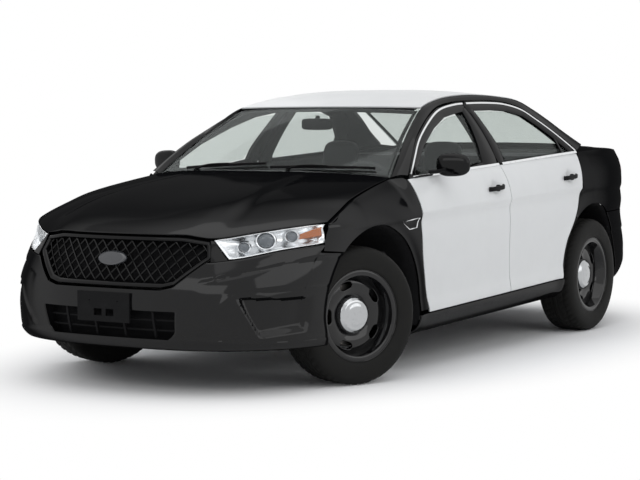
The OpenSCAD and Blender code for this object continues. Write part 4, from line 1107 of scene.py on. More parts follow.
@dataclass
class FrontEnd:
    """Front bumper, grille, intake bars, lamps and hood."""
    bumper_foot: float = 242.0
    hole_low: float = 296.0
    hole_high: float = 440.0
    hole_half: float = 415.0
    lamp_inner: float = 560.0
    lamp_outer: float = 905.0
    wide_from: float = 700.0
    level_z: float = 720.0
    pocket: tuple[tuple[float, float], ...] = ((705, 508), (892, 494), (886, 345), (771, 322))
    bar_pitch: float = 62.0
    bar_level: float = 680.0
    bar_slope: float = 0.95
    outline: tuple[tuple[float, float], ...] = (
        (-556, 700), (-526, 790), (-380, 812), (380, 812), (526, 790), (556, 700), (400, 560), (330, 543),
        (-330, 543), (-400, 560))

    @staticmethod
    def hole_edge(z: Array) -> Array:
        """Half width of the lower intake at a height."""
        return np.interp(z, [296, 330, 440], [360, 400, 415])

    def top(self, x: Array) -> Array:
        """Upper edge of the bumper's skin: the grille's lower outline, the lamp, then the fender's seam."""
        f = FORM
        lamp = f.lamp_bottom(np.maximum(x, self.lamp_inner)) - f.gap
        side = f.fender_seam_z - f.gap + 14 * np.clip((945 - x) / 40, 0, 1)
        below_grille = np.interp(x, [0, 330, 400, 535], [543, 543, 560, 681])
        return np.where(x < 535, below_grille, np.where(x < self.lamp_outer, lamp, side))

    def relief(self, x: Array, z: Array) -> Array:
        """Depth of the bumper's styling: ledges under two slanted lines, a lamp pocket and a lower lip."""
        outer = ease((x - 500) / 60)
        crease = np.interp(x, [531, 903], [595, 695])
        d = 9 * outer * ease((crease - z) / 10) * np.exp(-np.maximum(crease - z, 0) / 60)
        lip = np.interp(x, [687, 891], [545, 555])
        d += 7 * ease((x - 640) / 60) * ease((lip - z) / 8) * np.exp(-np.maximum(lip - z, 0) / 40)
        corners = np.array(self.pocket, float)
        sides = unit(np.roll(corners, -1, 0) - corners)
        gaps = np.stack([side[1] * (x - corner[0]) - side[0] * (z - corner[1])
                         for side, corner in zip(sides, corners)])
        slopes = np.array([20, 24, 52, 20]).reshape(4, *[1] * z.ndim)
        d += 30 * ease((gaps / slopes).min(0) + 0.5)
        ridge = np.interp(z, [330, 525], [531, 669])
        d -= 6 * np.exp(-((x - ridge) / 16) ** 2) * ease((z - 310) / 30) * ease((545 - z) / 30)
        low = np.interp(x, [513, 879], [313, 290])
        return d - 7 * ease((low - z) / 12)

    def bumper(self) -> tuple[Array, Array]:
        """Bumper grid: level rows up to the intake's top, then rows up to the skin's edge.

        A column keeps its turn round the nose's superellipse; columns beside the intake lean with its sides,
        and the outermost run on to the wheel arch. The relief moves points in along the outward direction.

        Returns:
            Points and the mask of faces that stay.
        """
        f = FORM
        hole, inner, outer = self.hole_half, self.lamp_inner, self.lamp_outer
        half = np.unique(np.concatenate([
            np.linspace(0, 330, 24), np.linspace(330, hole, 8), np.linspace(hole, 535, 12),
            np.linspace(inner, 900, 42), [outer - 0.1, outer + 0.1], np.linspace(908, 936, 8)]))
        levels = np.concatenate([np.linspace(self.bumper_foot, self.hole_low, 9)[:-1],
                                 np.linspace(self.hole_low, self.hole_high, 20)[:-1]])
        end = np.concatenate([half, [950.0, 960.0]])
        top = self.top(np.minimum(end, 950))
        rows = np.linspace(0, 1, 34)
        z = np.concatenate([np.broadcast_to(levels, (len(end), len(levels))),
                            mix(self.hole_high, top[:, None], rows[None])], 1)
        c = np.broadcast_to(end[:, None], z.shape)
        h = self.hole_edge(z)
        beside = mix(h, inner, (c - hole) / (inner - hole))
        lean = np.where(c <= hole, c * h / hole, np.where(c < inner, beside, c))

        def rim_turn(v: Array) -> Array:
            """Turn at which the wheel arch cuts the nose."""
            b, n = f.nose(v)
            return f.turn_at_depth((f.nose_base - f.front_arch[0]
                                    + f.arch_reach(f.front_arch, f.front_arch_r, v))
                                   / b, n)

        def width_turn(v: Array, w: Array) -> Array:
            """Turn at a half width and a height."""
            _, n = f.nose(w)
            return f.turn_at_width(np.minimum(1, v / f.flank(np.full(w.shape, f.nose_base), w)), n)

        ref, wide = np.full(c.shape, self.level_z), np.full(c.shape, self.wide_from)
        share = width_turn(np.minimum(c, 945), ref) / rim_turn(ref)
        mid = width_turn(wide, ref) / rim_turn(ref)
        share = np.where(c >= 950, 1.0, share)
        beyond = mix(width_turn(wide, z), rim_turn(z), np.clip((share - mid) / (1 - mid), 0, 1))
        a = np.where(c <= self.wide_from, width_turn(lean, z), beyond)
        p = f.on_nose(a, z)
        way = points(np.sin(np.radians(a)), -np.cos(np.radians(a)), 0)
        p = p - way * self.relief(np.minimum(p[..., 0], outer), z)[..., None]
        p = p[:-1]
        full = np.concatenate([p[:0:-1] * [-1, 1, 1], p])
        cols = np.concatenate([-end[:-1][:0:-1], end[:-1]])
        mid_c, mid_z = (cols[1:] + cols[:-1]) / 2, (z[0, 1:] + z[0, :-1]) / 2
        level = (mid_z > self.hole_low) & (mid_z < self.hole_high)
        return full, ~((np.abs(mid_c)[:, None] < hole) & level[None])

    def inside(self, x: Array, z: Array, margin: float) -> Array:
        """Whether places are inside the grille's outline by a margin (outline points run clockwise)."""
        c = np.array(self.outline, float)
        s = unit(np.roll(c, -1, 0) - c)
        far = -(s[:, 0] * (z[..., None] - c[:, 1]) - s[:, 1] * (x[..., None] - c[:, 0]))
        return far.min(-1) > margin

    def slanted(self, place: int, way: int, z: Array) -> Array:
        """Place across the car of one slanted grille bar at a height."""
        return place * self.bar_pitch + way * (z - self.bar_level) * self.bar_slope

    @staticmethod
    def bar(piece: Piece, x: Array, z: Array, inset: float, width: float) -> None:
        """Adds one bar behind the nose's surface: an eight-sided section carried along a line."""
        piece.rod(points(x, FORM.nose_y(x, z) + inset, z), round_outline(width, 11, 3, 8), (0, -1, 0))

    def grille(self) -> None:
        """Frame ring, crossed bars, backing screen and a bare oval boss."""
        c = np.array(self.outline, float)
        line = through(np.concatenate([c, c[:1]]), 241, straight=True)[:-1]
        for _ in range(3):
            line = (np.roll(line, 1, 0) + line * 2 + np.roll(line, -1, 0)) / 4
        n = np.gradient(np.concatenate([line[-1:], line, line[:1]]), axis=0)[1:-1]
        n = unit(np.stack([n[:, 1], -n[:, 0]], 1))
        sections = np.array([(7, 30), (9, 18), (15, 11), (24, 12), (32, 20), (37, 33), (37, 46), (7, 46)],
                            float)
        q = line[:, None] + n[:, None] * sections[None, :, :1]
        ring = points(q[..., 0], FORM.nose_y(q[..., 0], q[..., 1]) + sections[None, :, 1], q[..., 1])
        Piece("grille_frame").add(ring, True, True).make(
            GLOSS, closed=True, sharp=60, replaces=["grille"])
        bars = Piece("grille_bars")
        z = np.linspace(545, 812, 200)
        for way in (-1, 1):
            for k in np.arange(-16, 17):
                ok = self.inside(self.slanted(k, way, z), z, 33)
                if ok.sum() > 8:
                    span = np.linspace(z[ok][0], z[ok][-1], 16)
                    self.bar(bars, self.slanted(k, way, span), span, 34 + 2 * way, 9)
        bars.make(GLOSS, closed=True, replaces=["grille"])
        u, v = net_of(np.linspace(-1, 1, 60), np.linspace(552, 806, 20))
        x = u * np.interp(v, [543, 560, 700, 790, 812], [330, 396, 545, 520, 380])
        rim = np.minimum(np.clip((1 - np.abs(u)) / 0.04, 0, 1),
                         np.clip(np.minimum(v - 552, 806 - v) / 14, 0, 1))
        Piece("grille_screen").add(points(x, FORM.nose_y(x, v)
                                                  + mix(46.0, 62 + 3 * np.sin(v / 6), rim), v),
                                           away=NOSE).make(WELL, wall=3)
        a, r = net_of(circle(64), np.linspace(0, 1, 14))
        x, z = 92 * r * np.cos(a), 690 + 38 * r * np.sin(a)
        dome = 14 * np.sqrt(np.maximum(0, 1 - r ** 4)) + 4 * np.exp(-((r - 0.86) / 0.06) ** 2)
        boss = Piece("grille_boss")
        boss.add(points(x, FORM.nose_y(x, z) + 20 - dome, z), close_u=True, away=NOSE).make(
            Paint("boss_enamel", "trim_black", (0.035, 0.037, 0.042), rough=0.25, coat=0.5, dust=0.0), wall=5)

    def intake(self) -> None:
        """Lower intake: four upright bars and two crossbars before a dark closed box."""
        bars = Piece("intake_bars")
        for x in (-273.0, -91.0, 91.0, 273.0):
            z = np.linspace(300, 436, 12)
            self.bar(bars, np.full(12, x), z, 30, 15)
        x = np.linspace(-395, 395, 60)
        for z in (340.0, 392.0):
            self.bar(bars, x, np.full(60, z), 38, 9)
        bars.make(TRIM, closed=True, replaces=["front_bumper"])
        u, t = net_of(np.linspace(-430, 430, 60), np.linspace(0, 3, 34))
        deep, v = (np.interp(t, range(4), level) for level in ((5, 72, 70, 6), (289, 286, 452, 447)))
        deep = mix(6.0, deep, np.clip((430 - np.abs(u)) / 12, 0, 1))
        Piece("intake_screen").add(points(u, FORM.nose_y(u, v) + deep, v), away=NOSE).make(
            WELL, wall=3)

    def lamps(self) -> None:
        """Headlamps: clear cover over a bright stepped bowl, three ringed lenses and an amber reflector."""
        f = FORM

        def spot(u: Array, t: Array, inner: float = 1.0) -> tuple[Array, Array]:
            """Place in the lamp's outline: the inner side leans out downwards."""
            low, high = mix(mix(562.0, 627.0, inner), 908.0, u), mix(mix(541.0, 538.0, inner), 904.0, u)
            x = mix(low, high, t)
            return x, mix(f.lamp_bottom(low) + 2, f.hood_front(high) - 2 * f.gap, t)

        u, t = shares(44, 22)
        x, z = spot(u, t)
        back = points(-0.35, 1, 0)
        cover = points(x, f.nose_y(x, z), z)
        Piece("lamp_covers").add(cover, away=NOSE).mirror().make(LAMP_GLASS, wall=3, bevel=1.2,
                                                                      replaces=["headlamps"])
        dip = 4 + 60 * (np.minimum(1, 5 * u) * np.minimum(1, 9 * (1 - u))
                        * np.sin(np.pi * np.clip(t, 0, 1)) ** 0.5)
        step = 6 * np.sin(u * 30) * np.exp(-((t - 0.25) / 0.16) ** 2)
        Piece("lamp_bowls").add(cover + (dip + step)[..., None] * back + [0, 3, 0],
                                        away=NOSE).mirror().make(
            LAMP_BOWL, wall=3, replaces=["headlamps"])
        fill_u, fill_t = shares(8, 20)
        low, high = mix(552.0, 624.0, fill_u), mix(524.0, 535.0, fill_u)
        x = mix(low, high, fill_t)
        z = mix(f.lamp_bottom(np.maximum(low, self.lamp_inner)) - 4, f.hood_front(high) - 14, fill_t)
        Piece("lamp_fillers").add(points(x, f.nose_y(x, z) + 3, z), away=NOSE).mirror().make(
            GLOSS, wall=8, bevel=1.5)
        bright = Piece("lamp_optics")
        glass = Piece("lamp_projectors")
        a = circle(48)
        for cx, cz, r, depth in ((731.0, 783.0, 36.0, 26.0), (655.0, 752.0, 22.0, 30.0),
                                 (812.0, 800.0, 24.0, 34.0)):
            cy = float(f.nose_y(cx, cz))
            for profile, target in ((((1.0, 10), (1.18, 4), (1.24, 10), (1.16, 24), (1.0, 26)), bright),
                                    (((0.0, -8), (0.4, -6), (0.75, 0), (0.95, 9), (0.98, 16)), glass)):
                pr = through(profile, 12)
                ring = points(cx + r * pr[None, :, 0] * np.cos(a)[:, None],
                              cy + depth + pr[None, :, 1] + 0.55 * r * pr[None, :, 0] * np.cos(a)[:, None],
                              cz + r * pr[None, :, 0] * np.sin(a)[:, None])
                target.add(ring, close_u=True, away=NOSE)
        bright.mirror().make(LAMP_CHROME, wall=2, replaces=["headlamps"])
        glass.mirror().make(Paint("projector_lens", "lamp_clear", (0.1, 0.115, 0.13), rough=0.08, coat=1.0,
                                  dust=0.0),
                            wall=2, replaces=["headlamps"])
        u, t = shares(16, 8)
        x = mix(846.0, 900.0, u)
        z = mix(mix(786.0, 800.0, u), mix(812.0, 846.0, u), t)
        Piece("lamp_reflectors").add(points(x, f.nose_y(x, z) + 9, z), away=NOSE).mirror().make(
            AMBER, wall=4, replaces=["headlamps"])

    def hood(self) -> None:
        """Hood: the form's surface with a raised middle between two ridges."""
        q, s = shares(76, 91, -1)
        p = FORM.hood_point(s, q) * [1.004, 1, 1]
        edge = mix(0.44, 0.60, 1 - q)
        rise = 9 * ease((edge - np.abs(s)) / 0.07 + 0.5) * ease(q / 0.25) * ease((1 - q) / 0.12)
        fold = np.exp(-((np.abs(s) - edge - 0.05) / 0.03) ** 2) * ease(q / 0.2) * ease((1 - q) / 0.1)
        p[..., 2] += rise - 3 * fold
        Piece("hood_skin", "hood").add(p, away=(0, -1500, 0)).make(
            BLACK, wall=8, bevel=2.5, replaces=["hood"])

    def build(self) -> None:
        """Makes the front end's pieces."""
        p, keep = self.bumper()
        Piece("bumper_front_skin").add(p, away=NOSE, keep=keep).make(
            BLACK, wall=7, sharp=40, replaces=["front_bumper"])
        self.grille()
        self.intake()
        self.lamps()
        self.hood()


@dataclass
class RearEnd:
    """Rear bumper, trunk lid, the sill and shelf ends before it, tail lamps and exhaust ends."""
    foot: float = 290.0

    def bumper(self) -> Array:
        """Rear bumper: rows up the tail's superellipse, with a ledge and a sunk lower panel."""
        f = FORM
        a, t = net_of(np.linspace(-1, 1, 141), np.linspace(0, 1, 36))
        z = mix(self.foot, f.seam_z - f.gap, t)
        edge = f.tail_turn_y(f.rear_arch[0] + f.arch_reach(f.rear_arch, f.rear_arch_r, z), z)
        turn = a * edge
        p = f.on_tail(turn, z)
        way = points(np.sin(np.radians(turn)), np.cos(np.radians(turn)), 0)
        d = 8 * ease((640 - z) / 10) * np.exp(-np.maximum(640 - z, 0) / 70)
        inner = ease((560 - np.abs(p[..., 0])) / 20 + 0.5)
        d += 10 * inner * ease((420 - z) / 10)
        return p - way * d[..., None]

    @staticmethod
    def lid(s: Array, q: Array) -> Array:
        """Deck part of the trunk lid: s across, q from the rear window to the tail."""
        f = FORM
        xr = f.lid_half * s
        y = mix(1848 - 200 * s * s, f.tail_y(xr, np.full(s.shape, 1130.0)), q)
        w = f.deck_edge(mix(1648, 2330, q))[..., 0] - f.gap
        x = s * np.minimum(w, mix(w, f.lid_half, q ** 4))
        z = hermite(q, *table([(0, 1184), (0.4, 1172), (0.8, 1148), (1, 1130)]))
        return points(x, y, z + 4 * np.exp(-((q - 0.985) / 0.02) ** 2))

    def build(self) -> None:
        """Makes the rear end's pieces."""
        f = FORM
        Piece("bumper_rear_skin").add(self.bumper(), away=(0, 1300, 500)).make(
            BLACK, wall=7, bevel=2, replaces=["rear_bumper"])
        q, s = shares(40, 61, -1)
        deck = self.lid(s, q)
        t, s = net_of(np.linspace(0, 1, 34)[1:], np.linspace(-1, 1, 61))
        z = mix(1130.0, f.seam_z + f.gap, t)
        back = points(s * f.lid_half, f.tail_y(s * f.lid_half, z), z)
        x = np.abs(back[..., 0])
        plate = ease((230 - x) / 14 + 0.5) * ease((1000 - z) / 14 + 0.5) * ease((z - 850) / 14 + 0.5)
        back[..., 1] -= 26 * plate + 5 * np.exp(-((z - 1040) / 12) ** 2)
        lid = np.concatenate([deck, back])
        Piece("trunk_skin", "trunk_lid").add(lid, away=(0, 1900, 600)).make(
            BLACK, wall=8, bevel=2.5, replaces=["trunk_lid"])
        s = np.linspace(-1, 1, 61)
        shelf_end = points(700 * s, 1585, 1131 + 0 * s)
        under_pane = Screens.back(0.97 * s, np.full(61, 0.96)) - [0, 0, 16]
        under_lid = self.lid(s, np.full(61, 0.03)) - [0, 0, 16]
        up_to_pane, up_to_lid = spread(shelf_end, under_pane, 12), spread(under_pane, under_lid, 6)
        sill = np.concatenate([up_to_pane[:, :-1], up_to_lid], 1)
        Piece("rear_sill").add(sill, away=(0, 1700, 600)).make(GLOSS, wall=3, replaces=["body_sides"])
        t, way = net_of(np.linspace(0, 1, 10), np.linspace(0, 2, 25))
        y, z = np.interp(way, [1, 2], [1118, 1800]), np.interp(way, [0, 1], [832, 1136])
        x = mix(625.0, f.on_side(y, z)[..., 0] - 24, t)
        Piece("shelf_ends").add(points(x, y, z), away=(600, 1600, 900)).mirror().make(CLOTH, wall=3)
        x = np.linspace(-300, 300, 60)
        line = points(x, f.tail_y(x, np.full(60, 1022.0)) - 1, 1022)
        Piece("trunk_bar", "trunk_lid").rod(line, round_outline(14, 26, 4, 12)).make(CHROME, closed=True)
        u, t = shares(50, 24)
        z = mix(mix(*f.tail_lamp_low, u) + 1, mix(*f.tail_lamp_high, u) - 1, t)
        turn = mix(f.tail_turn_y(f.lamp_y + 4, z), f.tail_turn_x(f.lid_half + 13, z), u)
        lens = f.on_tail(turn, z)
        way = points(np.sin(np.radians(turn)), np.cos(np.radians(turn)), 0)
        groove = 3 * np.exp(-((t - 0.5) / 0.05) ** 2)
        Piece("tail_lenses").add(lens - way * groove[..., None], away=(300, 1500, 990)).mirror().make(
            RED, wall=26, bevel=1.5, replaces=["tail_lamps"])
        a = circle(40)
        tips = Piece("exhaust_tips")
        profile = through([(0, 40.5), (120, 41), (176, 43), (182, 45), (180, 40), (60, 37)], 24)
        tips.add(points(430 + profile[None, :, 1] * np.cos(a)[:, None] * 1.25, 2262 + profile[None, :, 0],
                        238 + profile[None, :, 1] * np.sin(a)[:, None]), close_u=True)
        tips.mirror().make(Chrome("tip_steel", "exhaust_steel", (0.7, 0.69, 0.67)), wall=0)


@dataclass
class Doors:
    """Four doors with their window frames, bright strips, handles, trims and panes, and the mirrors."""
    columns: int = 66
    rows: int = 60
    front_line: tuple[Any, ...] = ((46, 1462, 17, 36, 3), (34, 1425, 40, 30, 3), (8, 1330, 67, 26, 3),
                                   (-42, 1200, 120, 26, 4), (-76, 1100, 148, 26, 12))
    handle_front: tuple[float, float] = (-108.0, 976.0)
    handle_rear: tuple[float, float] = (915.0, 1009.0)
    step_line: tuple[tuple[float, float], ...] = ((-1023.0, 978.0), (862.0, 925.0))
    trim_x: float = 800.0
    mirror_at: tuple[float, float, float] = (992.0, -716.0, 1127.0)

    def panel(self, rear: bool) -> tuple[Array, Array]:
        """Lower panel from sill to belt, with a crisp step under the crease and a bowl behind the handle.

        Returns:
            The skin's points, and the plain points before the step and the bowl.
        """
        f = FORM
        u, t = shares(self.columns, self.rows)
        zl = mix(f.sill_z(-900.0), f.belt_z(np.array(-1000.0)), t)
        zr = mix(f.sill_z(500.0), f.belt_z(np.array(500.0)), t)
        split = f.door_split(zr)
        y0 = split + f.gap / 2 if rear else f.front_lead(zl)
        high = mix(f.sill_z(850.0), f.belt_z(np.array(1150.0)), t)
        y1 = f.rear_edge(high) if rear else split - f.gap / 2
        y = mix(y0, y1, u)
        z = mix(f.sill_z(y), f.belt_z(y), t)
        p = f.on_side(y, z)
        line = np.interp(y, *self.step_line)
        d = 5.5 * ease((line - z) / 9 + 0.5) * np.exp(-np.maximum(line - z, 0) / 55)
        d -= 1.5 * np.exp(-((z - line - 12) / 10) ** 2)
        hy, hz = self.handle_rear if rear else self.handle_front
        d += 15 * ease((52 - np.hypot(y - hy - 4, z - hz)) / 34)
        d += 2.5 * np.exp(-np.maximum(z - f.sill_z(y), 0) / 5)
        return p - points(d, 0, 0), p

    @staticmethod
    def frame(outline: Array, tuck_from: float) -> Array:
        """Closed ring round a window: an outer face sunk under the rail's, and a rounded inner return."""
        n = len(outline)
        o = np.concatenate([outline, outline[:1]])
        o = np.stack([np.interp(np.arange(0, n, 0.125), np.arange(n + 1), o[:, k]) for k in range(5)], 1)
        t = unit(np.roll(o[:, :2], -6, 0) - np.roll(o[:, :2], 6, 0))
        turn = np.stack([-t[:, 1], t[:, 0]], 1)
        a, b = o[:, :2] + o[:, 2:3] * turn, o[:, :2] - o[:, 3:4] * turn
        tuck = np.where(a[:, :1] > tuck_from, 20.0, 0.0) * [1, 0]
        f, sunk = FORM, o[:, 4]
        c = mix(a, b, 0.78)
        return np.stack([f.on_window(a, sunk + 3), f.on_window(mix(a, b, 0.06), sunk), f.on_window(c, sunk),
                         f.on_window(b, sunk + 7), f.on_window(b, 40), f.on_window(a - tuck, 40)], 1)

    def outline(self, rear: bool) -> Array:
        """Window frame's outline as (y, z, reach out, reach in, depth)."""
        w = WINDOW_TOP
        if not rear:
            upper = [(*w[i], 10 if i < 1 else 17, 18 if i < 1 else 40, 3) for i in range(6)]
            y = np.array([-300.0, -550, -800])
            lower = [(v, z, 14, 14, 10) for v, z in zip(y, FORM.belt_z(y) - 6)]
            return np.array(upper + list(self.front_line) + lower, float)
        y = np.array([1050.0, 750, 450])
        lower = [(v, z, 14, 14, 10) for v, z in zip(y, FORM.belt_z(y) - 6)]
        return np.array([(116, 1466, 17, 40, 3), (250, 1467, 17, 40, 3)]
                        + [(*w[i], 17, 38, 3) for i in range(7, 13)]
                        + [(1148, 1148, 12, 26, 3)] + lower
                        + [(172, 1104, 93, 20, 12), (160, 1220, 81, 20, 4), (138, 1340, 58, 20, 3),
                           (123, 1425, 42, 26, 3)], float)

    def strip(self, yz: Array, width: float = 11.0, proud: float = 3.5) -> Array:
        """Bright strip: a low rounded section carried along a line on the window plane."""
        p = FORM.on_window(yz, -proud + 5)
        t = unit(np.gradient(p, axis=0))
        out = np.broadcast_to([1.0, 0, 0.5], p.shape) / math.hypot(1, 0.5)
        return capped(tube(p, np.cross(out, t), out, round_outline(width, 8, 3, 10)))

    def strips(self, rear: bool) -> list[Array]:
        """Upper strip along the window's top and the belt strip under it."""
        line = through(WINDOW_TOP, 400)
        y0, y1 = (92.0, 1162.0) if rear else (-985.0, 66.0)
        top = outset(line, 6)
        top = top[(top[:, 0] > y0) & (top[:, 0] < y1)][::3]
        y = np.linspace(y0 + 12, y1 - 6, 60)
        belt = np.stack([y, FORM.belt_z(y) + 5], 1)
        return [self.strip(top, 13, 5), self.strip(belt, 17, 7)]

    def handle(self, piece: Piece, rear: bool) -> None:
        """Pull bar over its bowl, with a round boss at the middle."""
        hy, hz = self.handle_rear if rear else self.handle_front
        y = np.linspace(-92, 92, 40)
        base = FORM.on_side(y + hy, hz + y * 0.06)
        rise = 6 + 20 * (1 - np.abs(y / 92) ** 4)
        piece.rod(base + points(rise, 0, 0), round_outline(13, 27, 3, 16))
        a = circle(32)
        for cy, r, lift in ((0.0, 21.0, 26.0), (104.0, 14.0, 3.0)):
            profile = np.array([(0, 3), (r * 0.7, 2.4), (r * 0.95, 0), (r, -4), (r * 0.98, -16)], float)
            c = FORM.on_side(np.array(hy + cy), np.array(hz + cy * 0.06)) + [lift, 0, 0]
            ring = points(c[0] + profile[None, :, 1], c[1] + profile[None, :, 0] * np.cos(a)[:, None],
                          c[2] + 0.95 * profile[None, :, 0] * np.sin(a)[:, None])
            ring = np.concatenate([ring, ring[:, -1:] * 0 + ring[:, -1:].mean(0)], 1)
            piece.add(ring, close_u=True)

    def pane(self, rear: bool) -> Array:
        """Pane between its lower and upper edges on the window plane."""
        low, high = (
            ([(194, 1126), (400, 1138), (640, 1148), (880, 1158), (1076, 1166)],
             [(166, 1422), (380, 1423), (560, 1414), (700, 1384), (1052, 1180)]) if rear else
            ([(-905, 1072), (-760, 1085), (-560, 1093), (-320, 1105), (-108, 1128)],
             [(-900, 1084), (-668, 1224), (-440, 1320), (-230, 1382), (-2, 1408)]))
        g = spread(through(low, 50), through(high, 50), 20)
        return FORM.on_window(g, 17)

    def build_door(self, side: Side, rear: bool) -> None:
        """Makes one door's pieces."""
        name = f"{'rear' if rear else 'front'}_door_{side.word}"
        inside = (0.0, 500.0 if rear else -500.0, 700.0)
        face, plain = self.panel(rear)
        Piece(f"{name}_skin", name).add(face, away=inside).to_side(side).make(
            WHITE, wall=9, bevel=2.4, replaces=[name])
        ring = self.frame(self.outline(rear), 1040 if rear else -120)
        Piece(f"{name}_frame", name).add(ring, True, True).to_side(side).make(
            GLOSS, closed=True, sharp=50, replaces=[name])
        bright = Piece(f"{name}_strips", name)
        for g in self.strips(rear):
            bright.add(g, close_v=True)
        bright.to_side(side).make(CHROME, closed=True)
        pull = Piece(f"{name}_handle", name)
        self.handle(pull, rear)
        pull.to_side(side).make(TRIM, closed=True)
        if rear:
            z = np.linspace(1150, 1285, 16)
            y = np.interp(z, [1150, 1285], [978, 955])
            line = FORM.on_window(np.stack([y, z], 1), 12)
            bar = Piece(f"{name}_divider", name).rod(line, round_outline(24, 10, 4, 10), (1, 0, 0.6))
            bar.to_side(side).make(GLOSS, closed=True)
        self.trim(side, name, plain)
        glass = f"{'rear' if rear else 'front'}_glass_{side.word}"
        Piece(f"{glass}_pane", name).add(self.pane(rear), away=inside).to_side(side).make(
            GLASS, wall=4, replaces=[glass])

    def trim(self, side: Side, name: str, plain: Array) -> None:
        """Inner trim: the skin's outline moved in, with an armrest swell and a map pocket."""
        g = plain[2:-2, 2:-1]
        u, t = shares(g.shape[0], g.shape[1])
        arm = 34 * np.exp(-((t - 0.55) / 0.06) ** 2) * ease(u / 0.2) * ease((1 - u) / 0.25)
        pocket = 22 * np.exp(-((t - 0.16) / 0.09) ** 4) * ease(u / 0.15) * ease((1 - u) / 0.3)
        x = np.minimum(g[..., 0] - 70, self.trim_x) - arm - pocket
        inner = points(x, mix(g[..., 1], g[..., 1].mean(), 0.03), g[..., 2])
        rim = g - points(12, 0, 0)
        Piece(f"{name}_trim", name).add(inner, away=(2500, float(g[..., 1].mean()), 700)).to_side(side).make(
            VINYL, wall=6)
        edge = np.concatenate([rim[:, 0], rim[-1, 1:], rim[-2::-1, -1], rim[0, -2:0:-1]])
        core = np.concatenate([inner[:, 0], inner[-1, 1:], inner[-2::-1, -1], inner[0, -2:0:-1]])
        Piece(f"{name}_edge", name).add(np.stack([edge, core], 1), close_u=True,
                                        away=(0, float(g[..., 1].mean()), 700)).to_side(side).make(
            WELL, wall=3)

    def mirror(self, side: Side) -> None:
        """Mirror: a superellipsoid housing on a tapered foot, with a sunk glass."""
        body = f"front_door_{side.word}"
        cx, cy, cz = self.mirror_at
        across, deep, up = ball(30, 48, 0.72)
        x = cx + 96 * across
        z = cz + 64 * up * (1 - 0.06 * across)
        y = cy + (36 - 8 * across) * deep + 0.12 * (x - cx)
        Piece(f"mirror_{side.word}_shell", body).add(points(x, y, z), close_v=True).to_side(side).make(
            GLOSS, closed=True, replaces=[f"mirror_{side.word}"])
        line = through([(893, -775, 1090), (915, -768, 1090), (945, -752, 1096), (968, -736, 1108)], 20)
        size = np.linspace(1, 0.62, 20)[:, None, None]
        foot = tube(line, np.broadcast_to([0.0, 1, 0], line.shape), np.broadcast_to([0.0, 0, 1], line.shape),
                    round_outline(104, 26, 3, 20)[None] * size)
        Piece(f"mirror_{side.word}_foot", body).add(capped(foot), close_v=True).to_side(side).make(
            TRIM, closed=True, replaces=[f"mirror_{side.word}"])
        a, r = net_of(circle(48), np.linspace(0, 1, 8))
        x = cx + 78 * powered(np.cos(a), 0.6) * r
        plane = points(x, cy + 36 + 0.12 * (x - cx) - 3 * r, cz + 49 * powered(np.sin(a), 0.6) * r)
        glass = Piece(f"mirror_{side.word}_glass", body).add(plane, close_u=True, away=(cx, -2000, cz))
        glass.to_side(side).make(
            Chrome("mirror_glass", "trim_black", (0.6, 0.63, 0.66), 0.04), wall=3)

    def build(self) -> None:
        """Makes all doors and both mirrors."""
        for side in Side:
            for rear in (False, True):
                self.build_door(side, rear)
            self.mirror(side)


@dataclass
class Screens:
    """Windscreen, rear window and the wipers."""

    @staticmethod
    def front(s: Array, t: Array) -> Array:
        """Windscreen: straight lines from the cowl's curve to the roof's, with a bulge along its normal."""
        low = points(780 * s, -1183 + 128 * s * s, 1092 - 26 * s * s)
        high = points(622 * s, -476 + 30 * s * s, 1450 - 14 * s * s)
        bulge = 26 * 4 * t * (1 - t) * (1 - 0.3 * s * s)
        return mix(low, high, t[..., None]) + points(0, -0.45 * bulge, 0.89 * bulge)

    @staticmethod
    def back(s: Array, t: Array) -> Array:
        """Rear window: as the windscreen, from the roof down to the deck."""
        high = points(630 * s, 1082 - 112 * s * s, 1474 - 40 * s * s)
        low = points(728 * s, 1828 - 260 * s * s, 1192)
        bulge = 16 * 4 * t * (1 - t) * (1 - s * s)
        return mix(high, low, t[..., None]) + points(0, 0.36 * bulge, 0.93 * bulge)

    def build(self) -> None:
        """Makes the panes, their dark borders and the wipers."""
        t, s = shares(34, 61, -1)
        Piece("windscreen_pane").add(self.front(s, t), away=(0, 0, 900)).make(
            GLASS, wall=5, replaces=["screens"])
        Piece("rear_window_pane").add(self.back(0.97 * s, t), away=(0, 0, 900)).make(
            GLASS, wall=5, replaces=["screens"])
        border = (np.abs(s) > 0.945) | (t > 0.93) | (t < 0.08)
        mid = border[1:, 1:] & border[:-1, :-1]
        band = Piece("screen_borders")
        for surface, shrink in ((self.front, 0.985), (self.back, 0.955)):
            g = surface(shrink * s, mix(0.01, 0.99, t)) - [0, 0, 7]
            band.add(g, away=(0, 0, 900), keep=mid)
        band.make(WELL, wall=2, replaces=["screens"])
        wipers = Piece("wipers")
        for x0, x1 in ((-560.0, 20.0), (70.0, 690.0)):
            s1 = np.linspace(x0, x1, 40) / 780
            t1 = np.linspace(0.03, 0.075, 40)
            blade = self.front(s1, t1) + [0, -3, 9]
            wipers.rod(blade, round_outline(12, 16, 3, 8))
            arm = through([blade[22] + [0, -2, 8], (blade[22] + blade[2]) / 2 + [0, -26, 8],
                           [x0 + 40, -1130 + 60 * (x0 / 700) ** 2, 1086]], 24)
            wipers.rod(arm, round_outline(16, 9, 3, 8))
        wipers.make(TRIM, closed=True)


